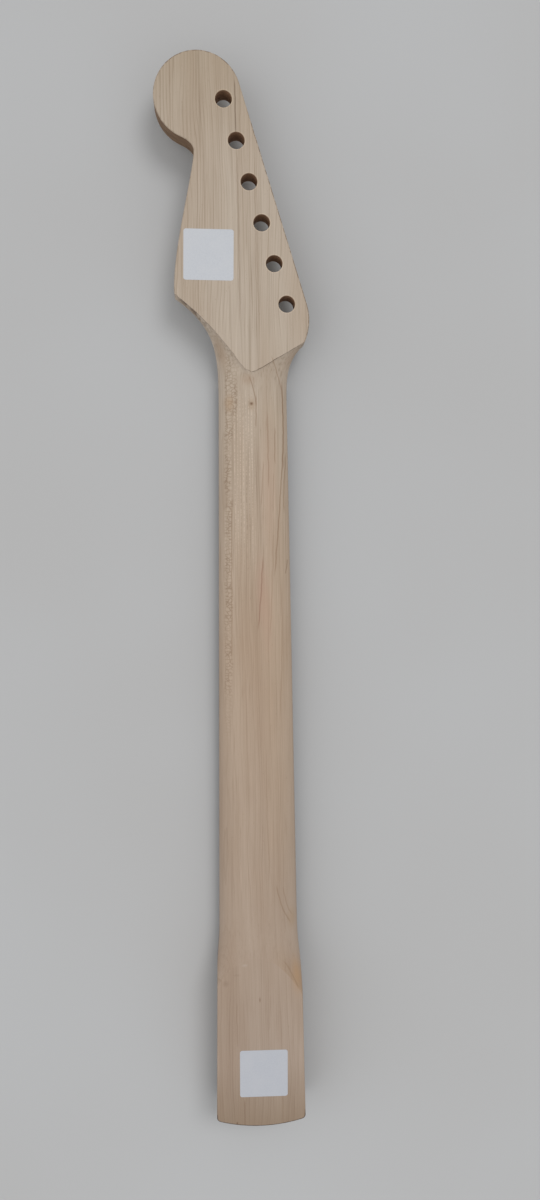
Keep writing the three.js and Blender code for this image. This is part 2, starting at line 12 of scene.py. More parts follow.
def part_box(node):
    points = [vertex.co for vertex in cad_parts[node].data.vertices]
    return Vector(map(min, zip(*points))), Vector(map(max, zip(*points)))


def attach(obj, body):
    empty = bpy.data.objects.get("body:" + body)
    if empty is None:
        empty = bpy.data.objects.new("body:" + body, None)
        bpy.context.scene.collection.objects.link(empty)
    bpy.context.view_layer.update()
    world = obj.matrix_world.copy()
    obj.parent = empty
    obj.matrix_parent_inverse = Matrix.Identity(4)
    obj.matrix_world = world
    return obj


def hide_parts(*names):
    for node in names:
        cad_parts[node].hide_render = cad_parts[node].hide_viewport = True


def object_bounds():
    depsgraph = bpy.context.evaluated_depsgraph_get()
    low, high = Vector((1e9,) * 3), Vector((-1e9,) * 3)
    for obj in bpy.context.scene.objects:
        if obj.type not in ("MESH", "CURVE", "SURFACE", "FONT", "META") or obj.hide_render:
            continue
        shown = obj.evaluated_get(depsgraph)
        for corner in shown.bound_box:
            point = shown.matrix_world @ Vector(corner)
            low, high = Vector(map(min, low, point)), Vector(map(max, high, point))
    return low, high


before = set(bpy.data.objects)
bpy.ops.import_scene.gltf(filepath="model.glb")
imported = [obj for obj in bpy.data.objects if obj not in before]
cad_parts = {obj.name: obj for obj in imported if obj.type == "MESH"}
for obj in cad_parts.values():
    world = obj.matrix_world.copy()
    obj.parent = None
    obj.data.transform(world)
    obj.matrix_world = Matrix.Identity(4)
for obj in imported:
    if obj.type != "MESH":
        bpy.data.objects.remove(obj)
CAD_LOW, CAD_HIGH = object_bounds()
MM = 0.001

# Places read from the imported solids
BLANK_LOW, BLANK_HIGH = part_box("neck")
BOARD_LOW, BOARD_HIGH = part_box("fingerboard")
HEEL_END = BLANK_LOW.y
HEAD_TIP = BLANK_HIGH.y
BOARD_END = BOARD_HIGH.y
CROWN_Z = BOARD_LOW.z
GLUE_Z = BOARD_HIGH.z
NUT_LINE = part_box("string_nut")[0].y
HEAD_BACK_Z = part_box("headstock_label")[0].z
BACK_Z = BLANK_HIGH.z
FLOOR_Z = CAD_LOW.z

# The blank, in the same values as the solids
SCALE_LENGTH = 647.7 * MM
HEEL_WIDTH = 56 * MM
NUT_WIDTH = 42 * MM
SHAFT_END_WIDTH = 49.8 * MM
SHOULDER_START = 96 * MM
SHOULDER_LENGTH = 26 * MM
HEEL_END_RADIUS = 95 * MM
HEEL_CORNER_LENGTH = 2 * MM
HEEL_CORNER_WIDTH = 2.2 * MM
NUT_RIDGE = 14.6 * MM
OCTAVE_RIDGE = 16.8 * MM
BACK_ROUNDNESS = 2.2
COVE_SHARPNESS = 2.2
ARCH_DISTANCE = 108 * MM
ARCH_DEPTH = 20 * MM
ARCH_SKEW = 0.08
RAMP_REACH = 34 * MM
FLARE_START = NUT_LINE - 9 * MM
FLARE_POWER = 3.5
TREBLE_CORNER = Vector((-46.8 * MM, NUT_LINE + 52 * MM))
BASS_CORNER = Vector((31.3 * MM, NUT_LINE + 23.8 * MM))
BASS_SHOULDER_Y = NUT_LINE + 46.5 * MM
BALL_RADIUS = 26 * MM
BALL_END_ANGLE = math.radians(246)
NOTCH_PAST_BALL = 2.5 * MM
NOTCH_Y = HEAD_TIP - 58.1 * MM
FLANK_START_SHARE = 0.14
FLANK_END_SHARE = 0.28
FLANK_SWELL = 1.4 * MM
VEE_BEND = Vector((-19.2 * MM, NUT_LINE + 31 * MM))
VEE_SPREAD = 1.4
HEAD_FRONT_Z = CROWN_Z + 10 * MM
FRONT_RAMP_LENGTH = 12 * MM
FRONT_RAMP_BEND = 4 * MM

# Finer forms of the blank than the solids have; the tip of the V lies about 2 mm off theirs
HEEL_END_DEPTH = 7 * MM
FLARE_SHARPNESS = 2.7
VEE_TIP = Vector((-3.2 * MM, NUT_LINE + 4 * MM))
VEE_TIP_SOFTNESS = 0.24
VEE_WOBBLE = 0.6 * MM
VEE_WOBBLES = 14
VEE_STEP = 0.85 * MM
VEE_TIP_STEP = 0.35
VEE_TIP_REACH = 0.3
VEE_CORNER_REACH = 0.1
RIM_RADIUS = 0.45 * MM
SAW_BITE = 0.4 * MM
SAW_BITE_LEAST = 0.05
SAW_BITE_SPACING = 0.9
SAW_START_STEPS = (0, 12)
SAW_END_STEPS = (70, 110)
BALL_MIDDLE_X = -20 * MM
RIM_SUPPORT = 0.25 * MM
EDGE_LIP = 0.7 * MM
UPRIGHT_NORMAL = 0.3
SHARP = math.radians(50)

# Steps along the curves of the outline of the blank
HEEL_ARC_STEPS = 60
HEEL_CORNER_STEPS = 12
BEND_STEPS = 16
TUNER_EDGE_STEPS = 130
BALL_STEPS = 120
FLANK_STEPS = 60

# Tuner holes
TUNER_COUNT = 6
TUNER_SIDES = 64
TUNER_RADIUS = 5 * MM
TUNER_PITCH = 25 * MM
TUNER_ANGLE = math.radians(17)
FIRST_TUNER = Vector((20.5 * MM, NUT_LINE + 46.1 * MM))
TUNER_EDGE_DISTANCE = 11.7 * MM

# Fingerboard, nut, frets and dots
BOARD_RADIUS = 241 * MM
SLOT_WIDTH = 0.8 * MM
SLOT_DEPTH = 2.2 * MM
NUT_SLOT_DEPTH = 3.5 * MM
NUT_RISE = 2.2 * MM
NUT_THICKNESS = 3.2 * MM
STRING_COUNT = 6
STRING_EDGE_GAP = 3.5 * MM
FIT_GAP = 0.15 * MM
CUTTER_EXCESS = 5 * MM
FRET_WIDTH = 2.5 * MM
FRET_HEIGHT = 1.2 * MM
TANG_WIDTH = 0.5 * MM
TANG_DEPTH = 1.6 * MM
FRET_INSET = 0.3 * MM
FRET_END_ANGLE = math.radians(32)
FRET_EDGE_ANGLE = math.radians(40)
FACE_DOT_RADIUS = 3.2 * MM
FACE_DOT_THICKNESS = 1.8 * MM
FACE_DOT_RINGS = [0.8 * MM, 0.8 * MM]
SIDE_DOT_RADIUS = 1 * MM
SIDE_DOT_RINGS = [0.4 * MM]
INLAY_RIM = 0.12 * MM
GROOVE_DEPTH = 1.1 * MM
GROOVE_HALF = 0.4 * MM
GROOVE_FALL = 0.07
GROOVE_FLARE = 1.6
GROOVE_SIDES = 24
NUT_FALL = 0.9 * MM
NUT_FALL_START = 0.4
FRET_END_ROUNDING = 0.15 * MM
BOARD_STRAIGHT_FROM = HEEL_END + 40 * MM
BOARD_COLUMNS = 48
FRETS = [f"{fret:02d}" for fret in range(1, 22)]
DOTS = ["03", "05", "07", "09", "12a", "12b", "15", "17", "19", "21"]
SIDEWAYS = Matrix.Rotation(math.pi / 2, 4, "Y")

# Truss rod and its groove
ROD_Z = sum(z for _, _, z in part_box("truss_rod_adjuster")) / 2
GROOVE_RADIUS = 4.7 * MM
GROOVE_START = NUT_LINE - 9 * MM
GROOVE_END = BOARD_END + 27 * MM
CHANNEL_HALF = 3.3 * MM
CHANNEL_START = HEEL_END + 29.7 * MM
CHANNEL_FLOOR_Z = -9.9 * MM
ROD_RADIUS = 2.2 * MM
ROD_CLEARANCE = 0.3 * MM
HEX_ACROSS_FLATS = 4 * MM
HEX_DEPTH = 7 * MM
SEAT_DEPTH = 5 * MM
SEAT_BEVEL = 0.3 * MM
BARREL_SHARP = math.radians(35)
SOCKET_MOUTH = 2.75 * MM
SOCKET_BEVEL = 0.6 * MM
ROD_SIDES = 48
THREAD_PITCH = 0.8 * MM
BARREL_PROFILE = [(0.88, 0), (1, 0.04), (1, 0.62), (0.93, 0.64), (0.93, 0.68), (1, 0.7), (1, 0.76),
                  (0.93, 0.78), (0.93, 0.82), (1, 0.84), (1, 0.96), (0.88, 1)]

# Stickers
STICKER_SIZE = 30 * MM
STICKER_CORNER = 1.5 * MM
STICKER_THICKNESS = 0.11 * MM
STICKER_LIFT = 0.03 * MM
STICKER_RINGS = [0.12 * MM, 0.7 * MM, 2 * MM, 5 * MM]
HEAD_STICKER_TURN = math.radians(-1)
HEEL_STICKER_TURN = math.radians(-0.4)

scene = bpy.context.scene


def mix(start, end, share):
    return start + (end - start) * share


def smooth_step(value, low, high):
    share = min(1.0, max(0.0, (value - low) / (high - low)))
    return share * share * (3 - 2 * share)


# Shapes of the blank
def edge_half(y):
    """Half the width of the shaft, the heel and the fingerboard."""
    heel_taper = (HEEL_WIDTH - NUT_WIDTH) / (NUT_LINE - HEEL_END)
    heel_half = (HEEL_WIDTH - heel_taper * (y - HEEL_END)) / 2
    shaft_start = HEEL_END + SHOULDER_START + SHOULDER_LENGTH
    shaft_share = (NUT_LINE - y) / (NUT_LINE - shaft_start)
    shaft_half = mix(NUT_WIDTH, SHAFT_END_WIDTH, shaft_share) / 2
    return mix(heel_half, shaft_half, smooth_step(y, HEEL_END + SHOULDER_START, shaft_start))


def heel_end_curve():
    """The rounded end of the heel from the treble side to the bass side, evenly spaced along it."""
    arc_half = edge_half(HEEL_END) - HEEL_CORNER_WIDTH
    arc_angle = math.asin(arc_half / HEEL_END_RADIUS)
    arc_rise = HEEL_END_RADIUS * (1 - math.cos(arc_angle))
    corner_y = HEEL_END + arc_rise + HEEL_CORNER_WIDTH * math.tan(arc_angle)
    side_y = corner_y + HEEL_CORNER_LENGTH
    side = Vector((edge_half(side_y), side_y))
    corner = Vector((edge_half(corner_y), corner_y))
    arc_end = Vector((arc_half, HEEL_END + arc_rise))
    half = [arc_point(Vector((0, HEEL_END + HEEL_END_RADIUS)), HEEL_END_RADIUS, turn)
            for turn in np.linspace(-math.pi / 2, -math.pi / 2 + arc_angle, HEEL_ARC_STEPS)]
    half += [quadratic(arc_end, corner, side, share) for share in shares(HEEL_CORNER_STEPS)[1:]]
    return [Vector((-point.x, point.y)) for point in reversed(half[1:])] + half


def shares(steps):
    """As many numbers as there are steps, evenly spread from 0 to 1."""
    return np.linspace(0, 1, steps)


def arc_point(centre, radius, turn):
    return centre + Vector((math.cos(turn), math.sin(turn))) * radius


def quadratic(start, bend, end, share):
    return mix(mix(start, bend, share), mix(bend, end, share), share)


def cubic(start, first, second, end, share):
    return mix(quadratic(start, first, second, share), quadratic(first, second, end, share), share)


def spaced_along(curve):
    """A function that gives the point of a curve at a share of its length."""
    x = np.array([point.x for point in curve])
    y = np.array([point.y for point in curve])
    run = np.concatenate(([0], np.cumsum(np.hypot(np.diff(x), np.diff(y)))))
    run /= run[-1]
    return lambda share: Vector((np.interp(share, run, x), np.interp(share, run, y)))


heel_end_point = spaced_along(heel_end_curve())


def back_height(side, y):
    """Height of the rounded back; side runs from -1 at the treble edge to 1 at the bass edge."""
    octave_line = NUT_LINE - SCALE_LENGTH / 2
    ridge = mix(NUT_RIDGE, OCTAVE_RIDGE, (NUT_LINE - y) / (NUT_LINE - octave_line))
    roundness = math.sqrt(max(0.0, 1 - abs(side) ** BACK_ROUNDNESS))
    return GLUE_Z + max(EDGE_LIP, ridge * roundness)


# How often a stretch is halved to find a place on a curve
HALVINGS = 30


def front_height(y):
    """Height of the flat front: the glue face, the ramp past the fingerboard and the headstock."""
    if y <= BOARD_END:
        return GLUE_Z
    if y >= BOARD_END + FRONT_RAMP_LENGTH:
        return HEAD_FRONT_Z
    low, high = 0.0, 1.0
    for _ in range(HALVINGS):
        share = (low + high) / 2
        run = quadratic(0, FRONT_RAMP_BEND, FRONT_RAMP_LENGTH, share)
        low, high = (share, high) if run < y - BOARD_END else (low, share)
    return quadratic(GLUE_Z, HEAD_FRONT_Z, HEAD_FRONT_Z, share)


def arch_y(side):
    return HEEL_END + ARCH_DISTANCE - ARCH_DEPTH * (side + ARCH_SKEW) ** 2


def sharp_vee_point(side):
    share = min(1.0, abs(side)) ** VEE_SPREAD
    if side < 0:
        return quadratic(VEE_TIP, VEE_BEND, TREBLE_CORNER, share)
    return mix(VEE_TIP, BASS_CORNER, share)


def vee_point(side):
    """The edge where the flat back of the headstock ends, with a softened tip."""
    reach = VEE_TIP_SOFTNESS * (1 - side * side)
    around = [sharp_vee_point(side + step * reach) for step in (-1, -0.5, 0, 0.5, 1)]
    wobble = noise.noise(Vector((VEE_WOBBLES * side, 1.3, 0))) * VEE_WOBBLE * (1 - side * side)
    return sum(around, Vector((0, 0))) / len(around) + Vector((0, wobble))


def vee_step(side):
    """Depth of the small upright step below that edge."""
    from_tip = mix(VEE_TIP_STEP, 1, smooth_step(abs(side), 0, VEE_TIP_REACH))
    return VEE_STEP * smooth_step(1 - abs(side), 0, VEE_CORNER_REACH) * from_tip


def round_spaced(side):
    """Columns closer together towards the edges, where the back curves most."""
    return side if abs(side) == 1 else math.sin(side * EDGE_COLUMN * math.pi / 2)


def heel_place(side, share):
    start = heel_end_point((side + 1) / 2)
    y = mix(start.y, arch_y(side), share)
    return Vector((spread_x(start, side, y, share * HEEL_ROWS), y, 0))


def spread_x(start, side, y, rows_gone):
    """Columns start evenly spaced along the heel's round end, and are evenly wide a row later."""
    return mix(start.x, side * edge_half(y), min(1.0, rows_gone))


def ramp_place(side, share):
    across = mix(side, round_spaced(side), share)
    y = mix(arch_y(across), HEEL_END + ARCH_DISTANCE + RAMP_REACH, share)
    drop = 1 - (1 - share) ** COVE_SHARPNESS
    return Vector((across * edge_half(y), y, back_height(across, y) * drop))


def shaft_place(side, share):
    across = round_spaced(side)
    y = mix(HEEL_END + ARCH_DISTANCE + RAMP_REACH, FLARE_START, share)
    return Vector((across * edge_half(y), y, back_height(across, y)))


def flare_place(side, share):
    across = mix(round_spaced(side), side, share)
    end = vee_point(across)
    x = mix(across * edge_half(FLARE_START), end.x, share ** FLARE_POWER)
    y = mix(FLARE_START, end.y, share)
    start_z = back_height(across, FLARE_START)
    end_z = HEAD_BACK_Z - vee_step(side)
    z = mix(end_z, start_z, 1 - share ** FLARE_SHARPNESS)
    return Vector((x, y, max(z, front_height(y) + EDGE_LIP)))


def vee_place(side, share):
    return vee_point(side).to_3d() + Vector((0, 0, HEAD_BACK_Z))


HEEL_ROWS = 16
HEEL_LAST_SHARE = 0.994
RAMP_ROWS = 26
RAMP_ROW_POWER = 1.4
SHAFT_ROWS = 44
FLARE_ROWS = 40
FLARE_ROW_POWER = 1.15
FRONT_RAMP_ROWS = 8
FRONT_RAMP_ROW_POWER = 1.5
BACK_COLUMNS = 64
EDGE_COLUMN = 0.96
BOARD_END_ROWS = 12
BOARD_ROWS = 90
NUT_COLUMNS = 48
NUT_ROWS = 4


def back_rows():
    """One entry for each row of the back: the stretch it lies on, and its share of that stretch."""
    heel_shares = [row / HEEL_ROWS for row in range(HEEL_ROWS)] + [HEEL_LAST_SHARE]
    rows = [(heel_place, share) for share in heel_shares]
    rows += [(ramp_place, (row / RAMP_ROWS) ** RAMP_ROW_POWER) for row in range(RAMP_ROWS)]
    rows += [(shaft_place, row / SHAFT_ROWS) for row in range(SHAFT_ROWS)]
    flare_left = [1 - row / FLARE_ROWS for row in range(FLARE_ROWS + 1)]
    rows += [(flare_place, 1 - left ** FLARE_ROW_POWER) for left in flare_left]
    return rows + [(vee_place, 1)]


def mapped_grid(mesh, columns, rows, place):
    """A grid whose corners are put in place one by one; gives them as rows from first to last."""
    made = bmesh.ops.create_grid(mesh, x_segments=columns, y_segments=len(rows) - 1, size=0.5)
    ordered = sorted(made["verts"], key=lambda corner: (round(corner.co.y, 6), corner.co.x))
    lines = [ordered[row * (columns + 1):(row + 1) * (columns + 1)] for row in range(len(rows))]
    for row, line in zip(rows, lines):
        for column, corner in enumerate(line):
            corner.co = place(2 * column / columns - 1, row)
    return lines


def tuner_edge_x(y):
    along = y - FIRST_TUNER.y
    offset = TUNER_EDGE_DISTANCE / math.cos(TUNER_ANGLE)
    return FIRST_TUNER.x - along * math.tan(TUNER_ANGLE) + offset


def headstock_outline():
    """Outline of the headstock from the bass corner round the ball to the treble corner."""
    bend_y = (BASS_CORNER.y + BASS_SHOULDER_Y) / 2
    shoulder = Vector((tuner_edge_x(BASS_SHOULDER_Y), BASS_SHOULDER_Y))
    bend = Vector((tuner_edge_x(bend_y), bend_y))
    points = [quadratic(BASS_CORNER, bend, shoulder, share) for share in shares(BEND_STEPS)]
    ball_y = HEAD_TIP - BALL_RADIUS
    ball = Vector((tuner_edge_x(ball_y) - BALL_RADIUS / math.cos(TUNER_ANGLE), ball_y))
    ball_start = arc_point(ball, BALL_RADIUS, TUNER_ANGLE)
    points += [mix(shoulder, ball_start, share) for share in shares(TUNER_EDGE_STEPS)[1:]]
    turns = np.linspace(TUNER_ANGLE, BALL_END_ANGLE, BALL_STEPS)
    points += [arc_point(ball, BALL_RADIUS, turn) for turn in turns[1:]]
    ball_end = points[-1]
    notch = Vector((ball.x - NOTCH_PAST_BALL, NOTCH_Y))
    fillet_y = ball_end.y + (ball_end.x - notch.x) / math.tan(BALL_END_ANGLE)
    fillet = Vector((notch.x, fillet_y))
    points += [quadratic(ball_end, fillet, notch, share) for share in shares(BEND_STEPS)[1:]]
    flank = notch.y - TREBLE_CORNER.y
    first = Vector((notch.x, notch.y - flank * FLANK_START_SHARE))
    second = Vector((TREBLE_CORNER.x - FLANK_SWELL, TREBLE_CORNER.y + flank * FLANK_END_SHARE))
    rest = [cubic(notch, first, second, TREBLE_CORNER, share) for share in shares(FLANK_STEPS)[1:]]
    return rough_cut(points) + rest


def rough_cut(points):
    """The outline with the small bites that the saw left, all of them inwards."""
    middle = Vector((BALL_MIDDLE_X, NOTCH_Y))
    bitten = []
    for index, point in enumerate(points):
        bite = noise.noise(Vector((SAW_BITE_SPACING * index, 3.7, 0))) - SAW_BITE_LEAST
        ends = smooth_step(index, *SAW_START_STEPS)
        ends *= smooth_step(len(points) - index, *SAW_END_STEPS)
        inwards = (middle - point).normalized() * SAW_BITE
        bitten.append(point + inwards * max(0.0, bite) * ends)
    return bitten


def tuner_places():
    step = Vector((-math.sin(TUNER_ANGLE), math.cos(TUNER_ANGLE))) * TUNER_PITCH
    return [FIRST_TUNER + step * tuner for tuner in range(TUNER_COUNT)]


def chained(mesh, corners):
    return [mesh.edges.new(pair) for pair in zip(corners, corners[1:])]


def open_edges(mesh):
    return [edge for edge in mesh.edges if edge.is_boundary]


def walled(mesh):
    """Draws walls out from the open edges, and gives their new corners."""
    walls = bmesh.ops.extrude_edge_only(mesh, edges=open_edges(mesh))
    return [item for item in walls["geom"] if isinstance(item, bmesh.types.BMVert)]


def crowned_slab(columns, rows, place, back_z, cutter):
    """A strip with a crowned face, a rounded rim and a flat back, with a cutter taken out of it."""
    mesh = bmesh.new()
    mapped_grid(mesh, columns, rows, place)
    for face in mesh.faces:
        face.normal_flip()
    rim_rounded(mesh, lambda corner: RIM_RADIUS, -1)
    for corner in walled(mesh):
        corner.co.z = back_z
    bmesh.ops.triangle_fill(mesh, edges=open_edges(mesh), use_beauty=True, normal=(0, 0, 1))
    bmesh.ops.recalc_face_normals(mesh, faces=mesh.faces)
    return carved(mesh, [cutter])


# On a quarter circle, the distance of its middle from both sides, as a share of the radius
RIM_BEND_SHARE = 0.29


def rim_rounded(mesh, radius_at, towards):
    """Rounds the outer rim of a skin, and gives its corners; towards is 1 where the wall lies below."""
    faces = mesh.faces[:]
    bend = RIM_BEND_SHARE * RIM_RADIUS
    for thickness in (bend, RIM_RADIUS - bend, RIM_SUPPORT):
        bmesh.ops.inset_region(mesh, faces=faces, thickness=thickness, use_even_offset=False,
                               use_boundary=True)
    outer = {corner for corner in mesh.verts if any(edge.is_boundary for edge in corner.link_edges)}
    second = {edge.other_vert(corner) for corner in outer for edge in corner.link_edges} - outer
    for corner in outer:
        corner.co.z -= towards * radius_at(corner.co)
    for corner in second:
        corner.co.z -= towards * RIM_BEND_SHARE * radius_at(corner.co)
    third = {edge.other_vert(corner) for corner in second for edge in corner.link_edges}
    return outer | second | third


def back_rim(place):
    return RIM_RADIUS if place.z > front_height(place.y) + 2 * EDGE_LIP else 0.0


def smooth_all(mesh, sharp_angle):
    for face in mesh.faces:
        face.smooth = True
    for edge in mesh.edges:
        if len(edge.link_faces) == 2 and edge.calc_face_angle(0) > sharp_angle:
            edge.smooth = False


def placed(name, data):
    """A new object in the scene that holds the data."""
    item = bpy.data.objects.new(name, data)
    scene.collection.objects.link(item)
    return item


def placed_mesh(name, mesh, materials=()):
    """The same for a mesh that was being built, which is used up."""
    data = bpy.data.meshes.new(name)
    mesh.to_mesh(data)
    mesh.free()
    for material in materials:
        data.materials.append(material)
    return placed(name, data)


def carved(mesh, cutters):
    """The mesh with its cutters taken out of it, as a new mesh."""
    bodies = [placed_mesh("shape", source) for source in [mesh, *cutters]]
    for cutter in bodies[1:]:
        cut = bodies[0].modifiers.new("cut", "BOOLEAN")
        cut.object = cutter
        cut.operation = "DIFFERENCE"
        cut.solver = "EXACT"
    graph = bpy.context.evaluated_depsgraph_get()
    result = bmesh.new()
    result.from_mesh(bodies[0].evaluated_get(graph).data)
    for body in bodies:
        data = body.data
        bpy.data.objects.remove(body)
        bpy.data.meshes.remove(data)
    smooth_all(result, SHARP)
    return result


def finished_piece(name, mesh, materials, slot, nodes, body="neck_assembly"):
    """An object in the scene that stands for the named nodes and rides on their body."""
    piece = placed_mesh(name, mesh, materials)
    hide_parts(*nodes)
    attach(piece, body)
    return piece


def finished_shell(name, mesh, *facts):
    """The same for a mesh that wasn't carved: its faces are turned outwards and smoothed first."""
    bmesh.ops.recalc_face_normals(mesh, faces=mesh.faces)
    smooth_all(mesh, SHARP)
    finished_piece(name, mesh, *facts)


# The maple blank
# Burn of the rim: below 0 paler than the wood, up to 1 brown, and towards 2 nearly black; the 2 at the
# heel's end is a painted contact shadow
RIM_BURN_AND_SHADE = {"hole": -1, "round hole": 1, "ball end": 1, "ball side": 0.4, "bass edge": 0.8,
             "treble edge": 0.25, "heel end": 2, "shaft": 0}


def rim_stretch(place):
    """Which of those stretches of the rim a place lies on."""
    to_hole = min((place.xy - hole).length for hole in tuner_places())
    if to_hole < 2 * TUNER_RADIUS:
        return "hole" if to_hole < TUNER_RADIUS + MM else "round hole"
    if place.y > HEAD_TIP - BALL_RADIUS / 2:
        return "ball end"
    if place.y > NOTCH_Y and place.x < BALL_MIDDLE_X:
        return "ball side"
    if place.y > BASS_CORNER.y and place.x > 0:
        return "bass edge"
    if place.y > TREBLE_CORNER.y:
        return "treble edge"
    return "heel end" if place.y < HEEL_END + HEEL_END_DEPTH else "shaft"


# Painted shade on the carve's steep sides under the headstock's flat back: side, the millimetres over
# which it comes in, and how much
FLARE_PAINTED_SHADES = [(-1, 17, 25, 0.15), (-1, 25, 37, 1.05), (1, 23, 30, 0.25)]
# Dark line under the V edge, partly burn of the rough edge and partly painted shadow
VEE_EDGE_BURN_AND_SHADE = {"treble": 0.7, "bass": 1.7}


def flare_painted_shade(x):
    """How much painted shade darkens the steep sides of the carve, under the edge of the headstock's
    flat back.
    """
    return sum(burn * smooth_step(side * x, low * MM, high * MM)
               for side, low, high, burn in FLARE_PAINTED_SHADES)


def blank_skin():
    mesh = bmesh.new()
    burn = mesh.verts.layers.float.new("burn")
    rows = back_rows()
    lines = mapped_grid(mesh, BACK_COLUMNS, rows, lambda side, row: row[0](side, row[1]))
    # Painted shade on the carve's steep sides under the headstock's flat back
    for corner in [corner for line in lines[-FLARE_ROWS:-1] for corner in line]:
        corner[burn] = flare_painted_shade(corner.co.x)
    vee = lines[-1]
    for column in (0, -1):
        bmesh.ops.pointmerge(mesh, verts=[vee[column], lines[-2][column]], merge_co=vee[column].co)
    edge = [corner for corner in lines[-2] + vee if corner.is_valid]
    vee = sorted([corner for corner in edge if corner.co.z > HEAD_BACK_Z - MM / 1000],
                 key=lambda corner: corner.co.x)
    # The row under the V edge gets that dark line, partly burn and partly painted shadow, and on the
    # treble side also the carve's painted shade
    for corner in edge:
        if corner in vee:
            continue
        if corner.co.x > VEE_TIP.x:
            corner[burn] = VEE_EDGE_BURN_AND_SHADE["bass"]
        else:
            corner[burn] = VEE_EDGE_BURN_AND_SHADE["treble"] + flare_painted_shade(corner.co.x)
    outline = [mesh.verts.new((point.x, point.y, HEAD_BACK_Z)) for point in headstock_outline()[1:-1]]
    rim = chained(mesh, [vee[-1], *outline, vee[0]])
    rim += [edge for corner in vee for edge in corner.link_edges if edge.other_vert(corner) in vee]
    for place in tuner_places():
        spot = Matrix.Translation((place.x, place.y, HEAD_BACK_Z))
        hole = bmesh.ops.create_circle(mesh, segments=TUNER_SIDES, radius=TUNER_RADIUS, matrix=spot)
        rim += {edge for corner in hole["verts"] for edge in corner.link_edges}
    bmesh.ops.triangle_fill(mesh, edges=list(set(rim)), use_beauty=True, normal=(0, 0, 1))
    bmesh.ops.recalc_face_normals(mesh, faces=mesh.faces)
    for start, end in zip(vee, vee[1:]):
        mesh.edges.get((start, end)).smooth = False
    burn = mesh.verts.layers.float["burn"]
    # Burn of the rim, with a painted contact shadow at the heel's end
    for corner in rim_rounded(mesh, back_rim, 1):
        corner[burn] = RIM_BURN_AND_SHADE[rim_stretch(corner.co)]
    for corner in mesh.verts:
        corner.co.z = min(corner.co.z, BACK_Z)
    return mesh


def blank_walls(mesh):
    low = walled(mesh)
    burn = mesh.verts.layers.float["burn"]
    for corner in low:
        corner.co.z = GLUE_Z
        corner[burn] = 0.0
    filled = bmesh.ops.triangle_fill(mesh, edges=open_edges(mesh), use_beauty=True, normal=(0, 0, -1))
    front = [item for item in filled["geom"] if isinstance(item, bmesh.types.BMFace)]
    for row in range(FRONT_RAMP_ROWS + 1):
        y = BOARD_END + FRONT_RAMP_LENGTH * (row / FRONT_RAMP_ROWS) ** FRONT_RAMP_ROW_POWER
        whole = {item for face in front for item in (face, *face.edges, *face.verts)}
        cut = bmesh.ops.bisect_plane(mesh, geom=list(whole), plane_co=(0, y, 0), plane_no=(0, 1, 0))
        front = [item for item in cut["geom"] if isinstance(item, bmesh.types.BMFace)]
    for corner in {corner for face in front for corner in face.verts}:
        corner.co.z = front_height(corner.co.y)
    bmesh.ops.recalc_face_normals(mesh, faces=mesh.faces)


def groove_cutter():
    """A round-nosed cut for the adjuster and its wrench, open towards the front."""
    mesh = bmesh.new()
    spot = Matrix.Translation((0, GROOVE_END, ROD_Z)) @ Matrix.Rotation(math.pi / 2, 4, "X")
    bmesh.ops.create_uvsphere(mesh, u_segments=48, v_segments=24, radius=GROOVE_RADIUS, matrix=spot)
    nose = GROOVE_RADIUS / 100
    mouth = [corner for corner in mesh.verts if corner.co.z < ROD_Z - nose]
    bmesh.ops.translate(mesh, verts=mouth, vec=(0, 0, 2 * (GLUE_Z - ROD_Z)))
    rear = [corner for corner in mesh.verts if corner.co.y < GROOVE_END - nose]
    run = GROOVE_END - GROOVE_START - GROOVE_RADIUS
    bmesh.ops.translate(mesh, verts=rear, vec=(0, -run, 0))
    return mesh


def channel_cutter():
    low = Vector((-CHANNEL_HALF, CHANNEL_START, 2 * GLUE_Z - CHANNEL_FLOOR_Z))
    high = Vector((CHANNEL_HALF, GROOVE_START + GROOVE_RADIUS, CHANNEL_FLOOR_Z))
    mesh = bmesh.new()
    box_cutter(mesh, low, high)
    return mesh


def wood_finish(face):
    """0 on sanded wood, 1 in the tuner holes, 2 on the sawn sides of the headstock and heel's end."""
    middle = face.calc_center_median()
    if abs(face.normal.z) > UPRIGHT_NORMAL:
        return 0
    if any((middle.xy - place).length < TUNER_RADIUS for place in tuner_places()):
        return 1
    if middle.y < HEEL_END + HEEL_END_DEPTH:
        return 2
    if abs(middle.x) < GROOVE_RADIUS + MM and middle.y < GROOVE_END + GROOVE_RADIUS:
        return 0
    return 2 if middle.y > (BASS_CORNER.y if middle.x > 0 else TREBLE_CORNER.y) else 0


def make_blank(materials):
    mesh = blank_skin()
    blank_walls(mesh)
    mesh = carved(mesh, [groove_cutter(), channel_cutter()])
    burn = mesh.verts.layers.float["burn"]
    # Below the flat back the burn is cleared, except the painted shade on the carve's steep sides
    for corner in mesh.verts:
        if corner.co.z < HEAD_BACK_Z - 2 * VEE_STEP:
            on_flare = corner.co.z > 2 * GLUE_Z / 3 and FLARE_START < corner.co.y < TREBLE_CORNER.y + MM
            corner[burn] = flare_painted_shade(corner.co.x) if on_flare else 0.0
    for face in mesh.faces:
        face.material_index = wood_finish(face)
    finished_piece("maple_blank", mesh, materials, "maple", ["neck"])


# Fingerboard with its slots, frets, string nut and dots
def crown_height(x, rise=0.0):
    """Height of the round crown at a distance from the centreline, lifted by rise."""
    radius = BOARD_RADIUS + rise
    return CROWN_Z + BOARD_RADIUS - math.sqrt(radius ** 2 - x ** 2)


def board_place(side, row):
    if row < 1:
        start = heel_end_point((side + 1) / 2)
        y = mix(start.y, BOARD_STRAIGHT_FROM, row)
        x = spread_x(start, side, y, row * BOARD_END_ROWS)
    else:
        y = mix(BOARD_STRAIGHT_FROM, BOARD_END, row - 1)
        x = side * edge_half(y)
    return Vector((x, y, crown_height(x)))


